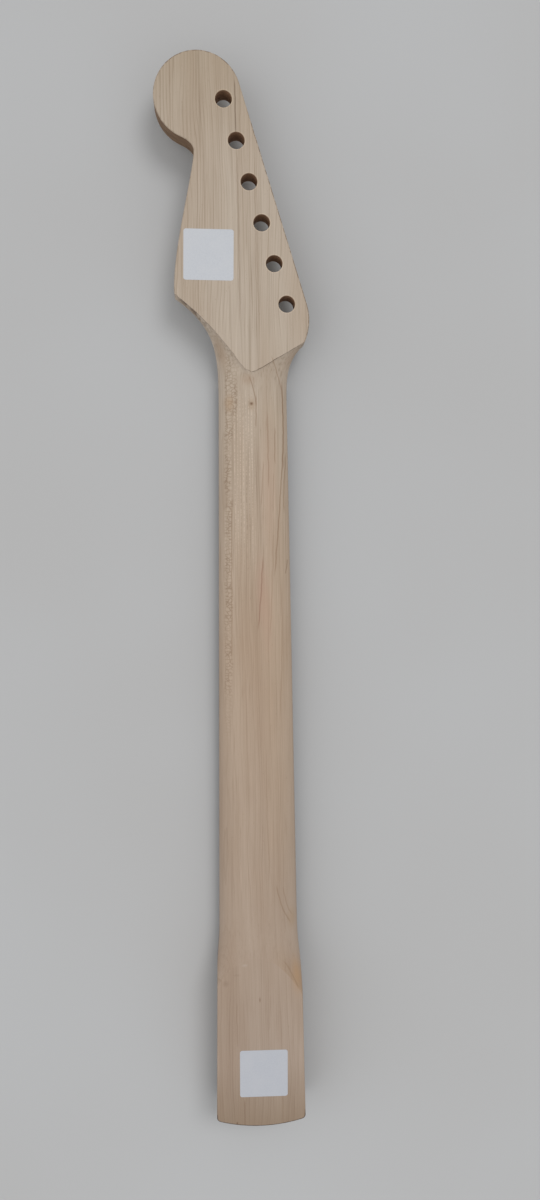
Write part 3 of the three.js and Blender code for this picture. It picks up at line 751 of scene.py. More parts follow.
def drum_cutter(mesh, radius, depth, spot, sides=48):
    made = bmesh.ops.create_cone(mesh, cap_ends=True, segments=sides, radius1=radius,
                                 radius2=radius, depth=depth, matrix=spot)
    return made["verts"]


def box_cutter(mesh, low, high):
    made = bmesh.ops.create_cube(mesh, size=1)
    bmesh.ops.scale(mesh, vec=high - low, verts=made["verts"])
    bmesh.ops.translate(mesh, vec=(high + low) / 2, verts=made["verts"])


def middle_of(node):
    low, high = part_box(node)
    return (low + high) / 2


def board_cutter():
    """Slots for the frets and the string nut, and holes for the dots."""
    mesh = bmesh.new()
    over = CUTTER_EXCESS
    for fret in FRETS:
        y = middle_of(f"fret_{fret}").y
        reach = edge_half(y) + over
        floor_z = crown_height(edge_half(y)) + SLOT_DEPTH
        low = Vector((-reach, y - SLOT_WIDTH / 2, CROWN_Z - over))
        box_cutter(mesh, low, Vector((reach, y + SLOT_WIDTH / 2, floor_z)))
    low = Vector((-HEEL_WIDTH, NUT_LINE - FIT_GAP, CROWN_Z - over))
    high = Vector((HEEL_WIDTH, NUT_LINE + NUT_THICKNESS + FIT_GAP, CROWN_Z + NUT_SLOT_DEPTH))
    box_cutter(mesh, low, high)
    for dot in DOTS:
        place = middle_of(f"face_dot_{dot}")
        floor_z = CROWN_Z + FACE_DOT_THICKNESS + FIT_GAP
        spot = Matrix.Translation((place.x, place.y, floor_z - over))
        drum_cutter(mesh, FACE_DOT_RADIUS + FIT_GAP, 2 * over, spot)
        place = middle_of(f"side_dot_{dot}")
        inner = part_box(f"side_dot_{dot}")[0].x - FIT_GAP
        spot = Matrix.Translation((inner + over, place.y, place.z)) @ SIDEWAYS
        drum_cutter(mesh, SIDE_DOT_RADIUS + FIT_GAP, 2 * over, spot)
    return mesh


def make_fingerboard(material):
    rows = [row / BOARD_END_ROWS for row in range(BOARD_END_ROWS)]
    rows += [1 + row / BOARD_ROWS for row in range(BOARD_ROWS + 1)]
    mesh = crowned_slab(BOARD_COLUMNS, rows, board_place, GLUE_Z, board_cutter())
    finished_piece("rosewood_board", mesh, [material], "fingerboard_wood", ["fingerboard"])


def fret_section(mesh):
    """The T of the fret wire at the middle of the board, crown towards -Z."""
    crown = [(math.cos(turn) * FRET_WIDTH / 2, math.sin(turn) * FRET_HEIGHT)
             for turn in np.linspace(0, math.pi, 13)]
    half = TANG_WIDTH / 2
    tang = [(-half, 0), (-half, -TANG_DEPTH), (half, -TANG_DEPTH), (half, 0)]
    corners = [mesh.verts.new((0, along, -up)) for along, up in crown + tang]
    return mesh.faces.new(corners)


def make_fret(fret, material):
    node = f"fret_{fret}"
    y = middle_of(node).y
    half = edge_half(y) - FRET_INSET
    centre = Vector((0, y, CROWN_Z + BOARD_RADIUS))
    angle = math.asin(half / BOARD_RADIUS)
    mesh = bmesh.new()
    section = fret_section(mesh)
    bmesh.ops.translate(mesh, verts=mesh.verts, vec=(0, y, CROWN_Z - FIT_GAP / 2))
    bmesh.ops.rotate(mesh, verts=mesh.verts, cent=centre, matrix=Matrix.Rotation(angle, 3, "Y"))
    bmesh.ops.spin(mesh, geom=[section, *section.edges, *section.verts], cent=centre,
                   axis=(0, 1, 0), angle=-2 * angle, steps=16)
    bmesh.ops.holes_fill(mesh, edges=open_edges(mesh))
    for corner in mesh.verts:
        above = crown_height(corner.co.x) - corner.co.z
        if above > 0 and abs(corner.co.x) > half - 2 * FRET_HEIGHT:
            corner.co.x -= math.copysign(above * math.tan(FRET_END_ANGLE), corner.co.x)
    bmesh.ops.recalc_face_normals(mesh, faces=mesh.faces)
    ends = [edge for edge in mesh.edges if edge.calc_face_angle(0) > FRET_EDGE_ANGLE
            and all(crown_height(corner.co.x) > corner.co.z for corner in edge.verts)]
    bmesh.ops.bevel(mesh, geom=ends, offset=FRET_END_ROUNDING, segments=2, profile=0.5,
                    affect="EDGES", material=-1)
    smooth_all(mesh, SHARP)
    finished_piece(f"fret_wire_{fret}", mesh, [material], "fret_wire", [node])


def nut_place(side, row):
    half = edge_half(NUT_LINE) - FIT_GAP
    x = side * half
    fall = NUT_FALL * max(0.0, row - NUT_FALL_START) ** 2
    return Vector((x, NUT_LINE + NUT_THICKNESS * row, crown_height(x, NUT_RISE) + fall))


def nut_grooves():
    mesh = bmesh.new()
    outer = NUT_WIDTH / 2 - STRING_EDGE_GAP
    tilt = math.pi / 2 + math.atan(GROOVE_FALL)
    for string in range(STRING_COUNT):
        x = mix(-outer, outer, string / (STRING_COUNT - 1))
        floor_z = crown_height(x, NUT_RISE) + GROOVE_DEPTH
        spot = Matrix.Translation((x, NUT_LINE, floor_z - GROOVE_HALF))
        spot = spot @ Matrix.Rotation(tilt, 4, "X")
        drum = drum_cutter(mesh, GROOVE_HALF, 4 * NUT_THICKNESS, spot, GROOVE_SIDES)
        mouth = [corner for corner in drum
                 if corner.co.z < floor_z - GROOVE_HALF + (corner.co.y - NUT_LINE) * GROOVE_FALL]
        bmesh.ops.translate(mesh, verts=mouth, vec=(0, 0, -4 * GROOVE_DEPTH))
        for corner in mouth:
            corner.co.x = x + (corner.co.x - x) * GROOVE_FLARE
    return mesh


def make_nut(material):
    rows = [row / NUT_ROWS for row in range(NUT_ROWS + 1)]
    back_z = CROWN_Z + NUT_SLOT_DEPTH - FIT_GAP
    mesh = crowned_slab(NUT_COLUMNS, rows, nut_place, back_z, nut_grooves())
    finished_piece("bone_nut", mesh, [material], "nut_bone", ["string_nut"])


def disc(mesh, radius, thickness, spot, rings):
    """A thin inlay with a softened rim, its face at the spot and its body behind it."""
    bmesh.ops.create_circle(mesh, cap_ends=True, segments=48, radius=radius, matrix=spot)
    middle = mesh.faces[:]
    for ring in [INLAY_RIM, *rings]:
        bmesh.ops.inset_region(mesh, faces=middle, thickness=ring)
    inward = spot.to_3x3() @ Vector((0, 0, -1))
    for corner in {corner for edge in open_edges(mesh) for corner in edge.verts}:
        corner.co += inward * INLAY_RIM
    bmesh.ops.translate(mesh, verts=walled(mesh), vec=inward * (thickness - INLAY_RIM))
    bmesh.ops.holes_fill(mesh, edges=open_edges(mesh))


def make_face_dot(dot, material):
    node = f"face_dot_{dot}"
    place = middle_of(node)
    spot = Matrix.Translation((place.x, place.y, CROWN_Z)) @ Matrix.Rotation(math.pi, 4, "X")
    mesh = bmesh.new()
    disc(mesh, FACE_DOT_RADIUS, FACE_DOT_THICKNESS, spot, FACE_DOT_RINGS)
    for corner in mesh.verts:
        if corner.co.z < CROWN_Z + 2 * INLAY_RIM:
            corner.co.z += crown_height(corner.co.x) - CROWN_Z
    finished_shell(f"pearl_dot_{dot}", mesh, [material], "dot_pearl", [node])


def make_side_dot(dot, material):
    node = f"side_dot_{dot}"
    place = middle_of(node)
    low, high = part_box(node)
    mesh = bmesh.new()
    spot = Matrix.Translation((high.x, place.y, place.z)) @ SIDEWAYS
    disc(mesh, SIDE_DOT_RADIUS, high.x - low.x, spot, SIDE_DOT_RINGS)
    finished_shell(f"side_pearl_{dot}", mesh, [material], "dot_pearl", [node])


# Paper stickers
def make_sticker(name, node, turn, material):
    """A blank sticker with round corners, whose edges lift a little where the glue has let go."""
    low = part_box(node)[0]
    spot = Matrix.Translation((*middle_of(node).xy, low.z)) @ Matrix.Rotation(turn, 4, "Z")
    mesh = bmesh.new()
    square = bmesh.ops.create_grid(mesh, x_segments=1, y_segments=1, size=STICKER_SIZE / 2)
    bmesh.ops.bevel(mesh, geom=square["verts"], offset=STICKER_CORNER, segments=6, profile=0.5,
                    affect="VERTICES", material=-1)
    sheet = mesh.faces[:]
    for ring in STICKER_RINGS:
        bmesh.ops.inset_region(mesh, faces=sheet, thickness=ring)
    for corner in mesh.verts:
        reach = max(abs(corner.co.x), abs(corner.co.y)) / (STICKER_SIZE / 2)
        lean = (corner.co.x + corner.co.y) / STICKER_SIZE
        corner.co.z = STICKER_THICKNESS + STICKER_LIFT * max(0.0, lean) ** 4 * reach
    for corner in {corner for edge in open_edges(mesh) for corner in edge.verts}:
        corner.co.z -= STICKER_THICKNESS / 3
    for corner in walled(mesh):
        corner.co.z = 0
    bmesh.ops.holes_fill(mesh, edges=open_edges(mesh))
    bmesh.ops.transform(mesh, matrix=spot, verts=mesh.verts)
    finished_shell(name, mesh, [material], "label_paper", [node])


# Truss rod
def turned_ring(mesh, y, radius_at):
    """Corners round the rod's axis, at a radius that may change with the turn."""
    turns = [2 * math.pi * step / ROD_SIDES for step in range(ROD_SIDES)]
    middle = Vector((0, y, ROD_Z))
    return [mesh.verts.new(middle + Vector((math.cos(turn), 0, math.sin(turn))) * radius_at(turn))
            for turn in turns]


def hexagon(turn):
    """Distance from the axis to the wall of the hexagon socket."""
    sixth = math.pi / 3
    return HEX_ACROSS_FLATS / 2 / math.cos(turn % sixth - sixth / 2)


def make_adjuster(material):
    """The turning barrel of the truss rod, with a hexagon socket and two grip rings."""
    low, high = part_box("truss_rod_adjuster")
    radius = (high.x - low.x) / 2
    seat = ROD_RADIUS + ROD_CLEARANCE
    mesh = bmesh.new()
    rings = [turned_ring(mesh, low.y + SEAT_DEPTH, lambda turn: seat),
             turned_ring(mesh, low.y + SEAT_BEVEL, lambda turn: seat),
             turned_ring(mesh, low.y, lambda turn: seat + SEAT_BEVEL)]
    for reach, share in BARREL_PROFILE:
        rings.append(turned_ring(mesh, mix(low.y, high.y, share), lambda turn: radius * reach))
    rings += [turned_ring(mesh, high.y, lambda turn: SOCKET_MOUTH),
              turned_ring(mesh, high.y - SOCKET_BEVEL, hexagon),
              turned_ring(mesh, high.y - HEX_DEPTH, hexagon)]
    for first, second in zip(rings, rings[1:]):
        for corner in range(ROD_SIDES):
            mesh.faces.new((first[corner - 1], first[corner], second[corner], second[corner - 1]))
    mesh.faces.new(rings[0])
    mesh.faces.new(rings[-1])
    bmesh.ops.recalc_face_normals(mesh, faces=mesh.faces)
    smooth_all(mesh, BARREL_SHARP)
    finished_piece("brass_adjuster", mesh, [material], "adjuster_brass", ["truss_rod_adjuster"],
                   "truss_rod")


# Finishes
def srgb(red, green, blue):
    """A colour given in display values from 0 to 255, as shader values."""
    shares = [value / 255 for value in (red, green, blue)]
    linear = [share / 12.92 if share < 0.04 else ((share + 0.055) / 1.055) ** 2.4 for share in shares]
    return (*linear, 1)


class Tree:
    """Adds nodes to one node tree; an input takes a value or another node's output."""

    def __init__(self, tree):
        self.tree = tree

    def feed(self, value, socket):
        if isinstance(value, bpy.types.NodeSocket):
            self.tree.links.new(value, socket)
        else:
            socket.default_value = value

    def add(self, kind, inputs, output=0, **settings):
        node = self.tree.nodes.new(kind)
        for name, value in settings.items():
            setattr(node, name, value)
        for socket, value in inputs.items():
            self.feed(value, node.inputs[socket])
        return node.outputs[output]

    def group(self, group, **inputs):
        return self.add("ShaderNodeGroup", inputs, node_tree=group).node.outputs

    def vector(self, operation, first, second=(0, 0, 0), output=0):
        inputs = {0: first, 1: second}
        return self.add("ShaderNodeVectorMath", inputs, output, operation=operation)

    def axis(self, vector, letter):
        return self.add("ShaderNodeSeparateXYZ", {"Vector": vector}, letter)

    def place(self):
        """Object coordinates in millimetres, with Y counted from the heel's end."""
        coordinates = self.add("ShaderNodeTexCoord", {}, "Object")
        moved = self.vector("SUBTRACT", coordinates, (0, HEEL_END, 0))
        return self.vector("MULTIPLY", moved, (1 / MM, 1 / MM, 1 / MM))

    def maths(self, operation, first, second=0, clamp=False):
        return self.add("ShaderNodeMath", {0: first, 1: second}, operation=operation,
                        use_clamp=clamp)

    def times(self, first, second):
        return self.maths("MULTIPLY", first, second)

    def noise(self, vector, factors, detail=2, roughness=0.5, lift=0, output="Fac"):
        place = self.vector("MULTIPLY", vector, factors)
        if lift:
            place = self.vector("ADD", place, (lift, lift, lift))
        values = {"Vector": place, "Scale": 1, "Detail": detail, "Roughness": roughness}
        return self.add("ShaderNodeTexNoise", values, output)

    def span(self, value, low, high, start=0, end=1, smooth=True):
        """The value from low to high, spread over start to end."""
        kind = "SMOOTHSTEP" if smooth else "LINEAR"
        values = {"Value": value, "From Min": low, "From Max": high, "To Min": start, "To Max": end}
        return self.add("ShaderNodeMapRange", values, interpolation_type=kind)

    def between(self, value, low, full_from, full_to, high):
        """1 from full_from to full_to, falling softly to 0 at low and at high."""
        return self.times(self.span(value, low, full_from), self.span(value, high, full_to))

    def blended(self, first, second, share, kind="MIX"):
        return self.add("ShaderNodeMix", {0: share, 6: first, 7: second}, 2, data_type="RGBA",
                        blend_type=kind)

    def layered(self, colour, layers):
        """A colour with others laid over it, each as far as its share goes."""
        for over, share in layers:
            colour = self.blended(colour, srgb(*over), share)
        return colour

    def tinted(self, colour, tints):
        """A colour times threes of factors, each as far as its share goes."""
        for factors, share in tints:
            colour = self.blended(colour, (*factors, 1), share, "MULTIPLY")
        return colour

    def ramp(self, value, stops):
        """A colour that runs through stops: places from 0 to 1 with their display values."""
        node = self.tree.nodes.new("ShaderNodeValToRGB")
        self.tree.links.new(value, node.inputs[0])
        for _ in stops[2:]:
            node.color_ramp.elements.new(0.5)
        for element, (place, colour) in zip(node.color_ramp.elements, stops):
            element.position = place
            element.color = srgb(*colour)
        return node.outputs[0]

    def raised(self, height, distance, strength=1):
        values = {"Height": height, "Distance": distance, "Strength": strength}
        return self.add("ShaderNodeBump", values, "Normal")


class Finish(Tree):
    """The node tree of a new material, its place in millimetres and its shader's inputs."""

    def __init__(self, name, roughness):
        self.material = bpy.data.materials.new(name)
        self.material.use_nodes = True
        super().__init__(self.material.node_tree)
        self.shader = self.tree.nodes["Principled BSDF"].inputs
        self.shader["Roughness"].default_value = roughness
        self.here = self.place()

    def done(self, colour, **others):
        for socket, value in {"Base Color": colour, **others}.items():
            self.feed(value, self.shader[socket])
        return self.material


class Effect(Tree):
    """A new node group with named sockets, for an effect that is used more than once."""

    def __init__(self, name, inputs, outputs):
        group = bpy.data.node_groups.new(name, "ShaderNodeTree")
        for side, sockets in (("INPUT", inputs), ("OUTPUT", outputs)):
            for socket, kind in sockets.items():
                group.interface.new_socket(socket, in_out=side, socket_type=f"NodeSocket{kind}")
        super().__init__(group)
        self.given = group.nodes.new("NodeGroupInput").outputs
        self.put_out = group.nodes.new("NodeGroupOutput").inputs

    def done(self, **values):
        for socket, value in values.items():
            self.feed(value, self.put_out[socket])
        return self.tree


def make_soft_spot():
    """A soft round or drawn-out spot: 1 at its middle, 0 from its edge outwards."""
    inputs = {"Place": "Vector", "Middle": "Vector", "Reach": "Vector"}
    tree = Effect("soft_spot", inputs, {"Spot": "Float"})
    away = tree.vector("SUBTRACT", tree.given["Place"], tree.given["Middle"])
    share = tree.vector("DIVIDE", away, tree.given["Reach"])
    length = tree.vector("LENGTH", share, output="Value")
    return tree.done(Spot=tree.span(length, 0, 1, 1, 0))


def make_grain_line():
    """One thin line of the grain from a start to an end, bowed sideways: 1 on the line."""
    inputs = {"Place": "Vector", "Start": "Vector", "End": "Vector", "Bow": "Float", "Width": "Float"}
    tree = Effect("grain_line", inputs, {"Line": "Float"})
    x, y = [tree.axis(tree.given["Place"], letter) for letter in "XY"]
    start_x, start_y = [tree.axis(tree.given["Start"], letter) for letter in "XY"]
    end_x, end_y = [tree.axis(tree.given["End"], letter) for letter in "XY"]
    gone = tree.maths("SUBTRACT", y, start_y)
    share = tree.maths("DIVIDE", gone, tree.maths("SUBTRACT", end_y, start_y))
    lean = tree.times(tree.maths("SUBTRACT", end_x, start_x), share)
    arch = tree.times(tree.times(share, tree.maths("SUBTRACT", 1, share)), 4)
    bow = tree.times(arch, tree.given["Bow"])
    wobble = tree.times(tree.noise(tree.given["Place"], (0, 0.12, 0), 2), 1.2)
    drift = tree.maths("ADD", tree.maths("ADD", lean, bow), wobble)
    aside = tree.maths("SUBTRACT", tree.maths("SUBTRACT", x, start_x), drift)
    away = tree.maths("ABSOLUTE", tree.maths("ADD", aside, 0.6))
    near = tree.span(away, 0, tree.given["Width"], 1, 0, smooth=False)
    ends = tree.times(tree.span(share, 0, 0.15), tree.span(share, 1, 0.85))
    return tree.done(Line=tree.times(near, ends))


def make_growth_rings():
    """Rings of a tree round a pith that runs along Y, with the fine fibre that runs with them."""
    inputs = {"Place": "Vector", "Pith": "Vector", "Spacing": "Float", "Wander": "Float"}
    tree = Effect("growth_rings", inputs, {"Ring": "Float", "Fibre": "Float", "Tone": "Float"})
    place = tree.given["Place"]
    away = tree.vector("SUBTRACT", place, tree.given["Pith"])
    radius = tree.vector("LENGTH", tree.vector("MULTIPLY", away, (1, 0, 1)), output="Value")
    slow = tree.noise(place, (0.022, 0.0055, 0.022), 2)
    quick = tree.noise(place, (0.12, 0.02, 0.12), 3, lift=31)
    drift = tree.maths("ADD", slow, tree.times(quick, 0.16))
    wandered = tree.maths("ADD", radius, tree.times(drift, tree.given["Wander"]))
    count = tree.maths("DIVIDE", wandered, tree.given["Spacing"])
    within = tree.maths("FRACT", count)
    number = tree.maths("FLOOR", count)
    strength = tree.add("ShaderNodeTexWhiteNoise", {"W": number}, "Value", noise_dimensions="1D")
    line = tree.maths("POWER", within, 5)
    fade = tree.span(within, 0.93, 1, 1, 0)
    ring = tree.times(tree.times(line, fade), tree.span(strength, 0, 1, 0.25, 1))
    fibre = tree.noise(place, (2.6, 0.035, 2.6), 4, 0.6)
    return tree.done(Ring=ring, Fibre=fibre, Tone=tree.span(strength, 0, 1))


def make_short_pores():
    """Short pores along Y: 1 inside a pore."""
    inputs = {"Place": "Vector", "Width": "Float", "Length": "Float", "Share": "Float"}
    tree = Effect("short_pores", inputs, {"Pore": "Float"})
    across, along = [tree.maths("DIVIDE", 1, tree.given[side]) for side in ("Width", "Length")]
    factors = tree.add("ShaderNodeCombineXYZ", {"X": across, "Y": along, "Z": across})
    speck = tree.noise(tree.given["Place"], factors, 1)
    start = tree.maths("SUBTRACT", 0.78, tree.given["Share"])
    return tree.done(Pore=tree.span(speck, start, 0.8))


def make_fine_wear():
    """Fine scratches and dull patches of handled metal."""
    tree = Effect("fine_wear", {"Place": "Vector"}, {"Scratch": "Float", "Dull": "Float"})
    scratch = tree.noise(tree.given["Place"], (6, 0.35, 2), 3, 0.7)
    dull = tree.noise(tree.given["Place"], (0.5, 0.5, 0.5), 3)
    return tree.done(Scratch=tree.span(scratch, 0.35, 0.7), Dull=dull)


# Marks of this piece of maple, and three spots of painted shade under the V: middle and reach in
# millimetres, colour, and how strongly it shows
MAPLE_MARKS = [
    ((-1.3, 451.3, -4.7), (1.6, 1.5, 3), (80, 52, 34), 1),
    # painted shade under the tip of the V
    ((-3, 466, -4.5), (7, 6, 4), (158, 128, 102), 0.4),
    # these two: painted shade on the carve's slopes under both sides of the V edge
    ((-19, 486, -10), (9, 22, 8), (158, 130, 104), 0.55),
    ((22, 486, -9), (10, 22, 8), (164, 136, 112), 0.5),
    ((-1.2, 450.8, -4.7), (3.2, 6, 6), (160, 128, 96), 0.4),
    ((3.4, 339, -4), (5, 32, 5), (178, 142, 122), 0.4),
    ((9, 399, -6), (8, 60, 12), (182, 150, 128), 0.35),
    ((-15.1, 452, -8), (5, 8, 8), (170, 136, 100), 0.45),
    ((23.5, 96, -3), (6, 18, 8), (178, 142, 104), 0.6),
    ((21, 130, -10), (5, 10, 12), (166, 138, 106), 0.4),
    ((-0.2, 81.6, 0), (0.6, 2.4, 2), (112, 82, 58), 0.75),
    ((-21.3, 92.6, 0), (3, 3, 4), (140, 118, 100), 0.45),
    ((-14.6, 97.8, 0), (3.4, 1.2, 3), (148, 126, 108), 0.4),
    ((-9.4, 104, 0), (2.6, 1.4, 3), (190, 176, 164), 0.4),
    ((6.8, 325, -4.5), (6, 40, 6), (186, 150, 128), 0.35),
    ((-15.3, 2.4, 0), (0.9, 1.4, 2), (104, 76, 52), 0.85),
]

# Single lines of the grain: start, end, bow and width in millimetres, colour, and strength
MAPLE_LINES = [
    ((-9.4, 642), (-8.9, 608), 0, 0.5, (104, 82, 62), 0.85),
    ((-8.9, 608), (-7.8, 490), 0.3, 0.6, (138, 116, 96), 0.5),
    ((2, 604), (4, 494), -0.5, 0.5, (146, 124, 104), 0.4),
    ((10.6, 480), (17.6, 459), 0.6, 0.55, (144, 116, 92), 0.6),
    ((17.3, 467), (17.5, 409), 0.9, 0.7, (132, 100, 72), 0.85),
    ((17.6, 420), (11.6, 344), 0.4, 0.55, (138, 108, 82), 0.75),
    ((20.3, 424), (18.2, 384), -0.6, 0.6, (142, 114, 88), 0.65),
    ((-3.2, 469), (1.7, 449), 0.9, 0.55, (136, 108, 84), 0.65),
    ((1.5, 457), (1.3, 436), 0, 0.5, (140, 112, 88), 0.6),
    ((8, 449), (8.6, 398), 0.3, 0.5, (144, 114, 90), 0.65),
    ((13, 438), (12.8, 414), 0, 0.5, (142, 112, 88), 0.6),
    ((5.4, 418), (3.8, 388), 0.3, 0.5, (146, 116, 94), 0.5),
    ((11.8, 411), (11, 384), 0.2, 0.45, (148, 118, 96), 0.45),
    ((4.6, 360), (1.1, 312), 0.5, 0.6, (140, 104, 82), 0.75),
    ((11, 376), (8, 304), 0.8, 0.5, (150, 120, 96), 0.45),
    ((16.2, 344), (14.2, 254), 0.9, 0.5, (150, 122, 98), 0.45),
    ((20.4, 357), (18.9, 347), 0, 0.5, (126, 98, 74), 0.6),
    ((-14, 400), (-15, 288), 0, 0.45, (142, 114, 88), 0.6),
    ((6, 244), (7.6, 154), -1.2, 0.55, (146, 120, 98), 0.4),
    ((11, 154), (20.6, 126), -1.6, 0.6, (140, 114, 88), 0.6),
    ((15.4, 152), (21.4, 131), -1.2, 0.5, (144, 118, 94), 0.5),
    ((14.6, 106), (24, 88), 1, 0.6, (140, 112, 84), 0.5),
    ((-14.9, 82), (-14.7, 50), 0.2, 0.6, (142, 118, 98), 0.5),
    ((6.3, 86), (5, 60), 0.4, 0.5, (146, 122, 102), 0.35),
    ((-10.6, 18), (-10.2, -2), 0, 0.5, (122, 96, 74), 0.7),
    ((13.4, 20), (13.8, 0), 0, 0.5, (138, 112, 90), 0.5),
]


def lace_figure(tree, place):
    """Small loops of lace figure in a band down the treble side of the back: rims and hollows."""
    run = tree.axis(place, "Y")
    lean = tree.times(tree.maths("SUBTRACT", 454, run), 0.0125)
    wave = tree.span(tree.noise(place, (0, 0.05, 0), 1), 0.3, 0.7, -0.8, 0.8, smooth=False)
    side = tree.maths("ADD", tree.maths("ADD", tree.axis(place, "X"), lean), wave)
    wide = tree.span(run, 424, 454, -12.9, -9.6)
    right = tree.span(tree.maths("SUBTRACT", side, wide), 0.5, -0.8)
    band = tree.times(tree.span(side, -18, -16.8), right)
    reach = tree.between(run, 225, 310, 488, 495)
    back = tree.between(tree.axis(place, "Z"), -15, -14, -2.4, -2.1)
    shown = tree.times(tree.times(band, reach), back)
    patchy = tree.span(tree.noise(place, (0.12, 0.05, 0.1), 2, lift=7), 0.35, 0.55, 0.3, 1)
    bend = tree.noise(place, (0.4, 0.35, 0), 1, output="Color")
    cells = tree.vector("ADD", tree.vector("MULTIPLY", place, (0.34, 0.5, 0)), bend)
    values = {"Vector": cells, "Scale": 1, "Randomness": 0.9}
    away = tree.add("ShaderNodeTexVoronoi", values, "Distance", feature="DISTANCE_TO_EDGE")
    loop = tree.times(tree.span(away, 0.14, 0.02), patchy)
    return tree.times(loop, shown), tree.times(tree.span(away, 0.2, 0.4), shown)


def pale_dashes(tree, place):
    """Short pale crosswise dashes in upright rows, beside the lace figure."""
    side = tree.axis(place, "X")
    band = tree.between(side, -13.5, -11.5, -2, 2.5)
    reach = tree.between(tree.axis(place, "Y"), 330, 390, 446, 466)
    rows = tree.maths("SINE", tree.times(side, 3.6))
    steps = tree.span(tree.noise(place, (0.7, 1.1, 0.5), 1, lift=6), 0.46, 0.56)
    return tree.times(tree.times(tree.span(rows, 0, 0.9), steps), tree.times(band, reach))


def beyond_arch(tree, place):
    """1 on the bass side past the arched end of the heel's flat back, with a crisp edge there."""
    half = edge_half(HEEL_END + ARCH_DISTANCE) / MM
    side = tree.maths("ADD", tree.maths("DIVIDE", tree.axis(place, "X"), half), ARCH_SKEW)
    bow = tree.times(tree.times(side, side), ARCH_DEPTH / MM)
    bowed = tree.maths("ADD", tree.axis(place, "Y"), bow)
    past = tree.maths("SUBTRACT", bowed, ARCH_DISTANCE / MM)
    sides = tree.span(tree.axis(place, "X"), 4, 16)
    return tree.times(tree.between(past, 0, 0.7, 1, 20), sides)


# Colour of the wood from the heel's end, 0, to the tip of the headstock, 1
WOOD_TONES = [
    (0, (150, 130, 110)),
    (0.06, (170, 151, 135)),
    (0.46, (180, 158, 137)),
    (0.74, (187, 172, 155)),
    (0.9, (187, 172, 155)),
    (1, (178, 162, 142)),
]
WOOD_SPAN = (HEAD_TIP - HEEL_END) / MM
CORNER_RUNS = [(corner.y - HEEL_END) / MM for corner in (TREBLE_CORNER, BASS_CORNER)]


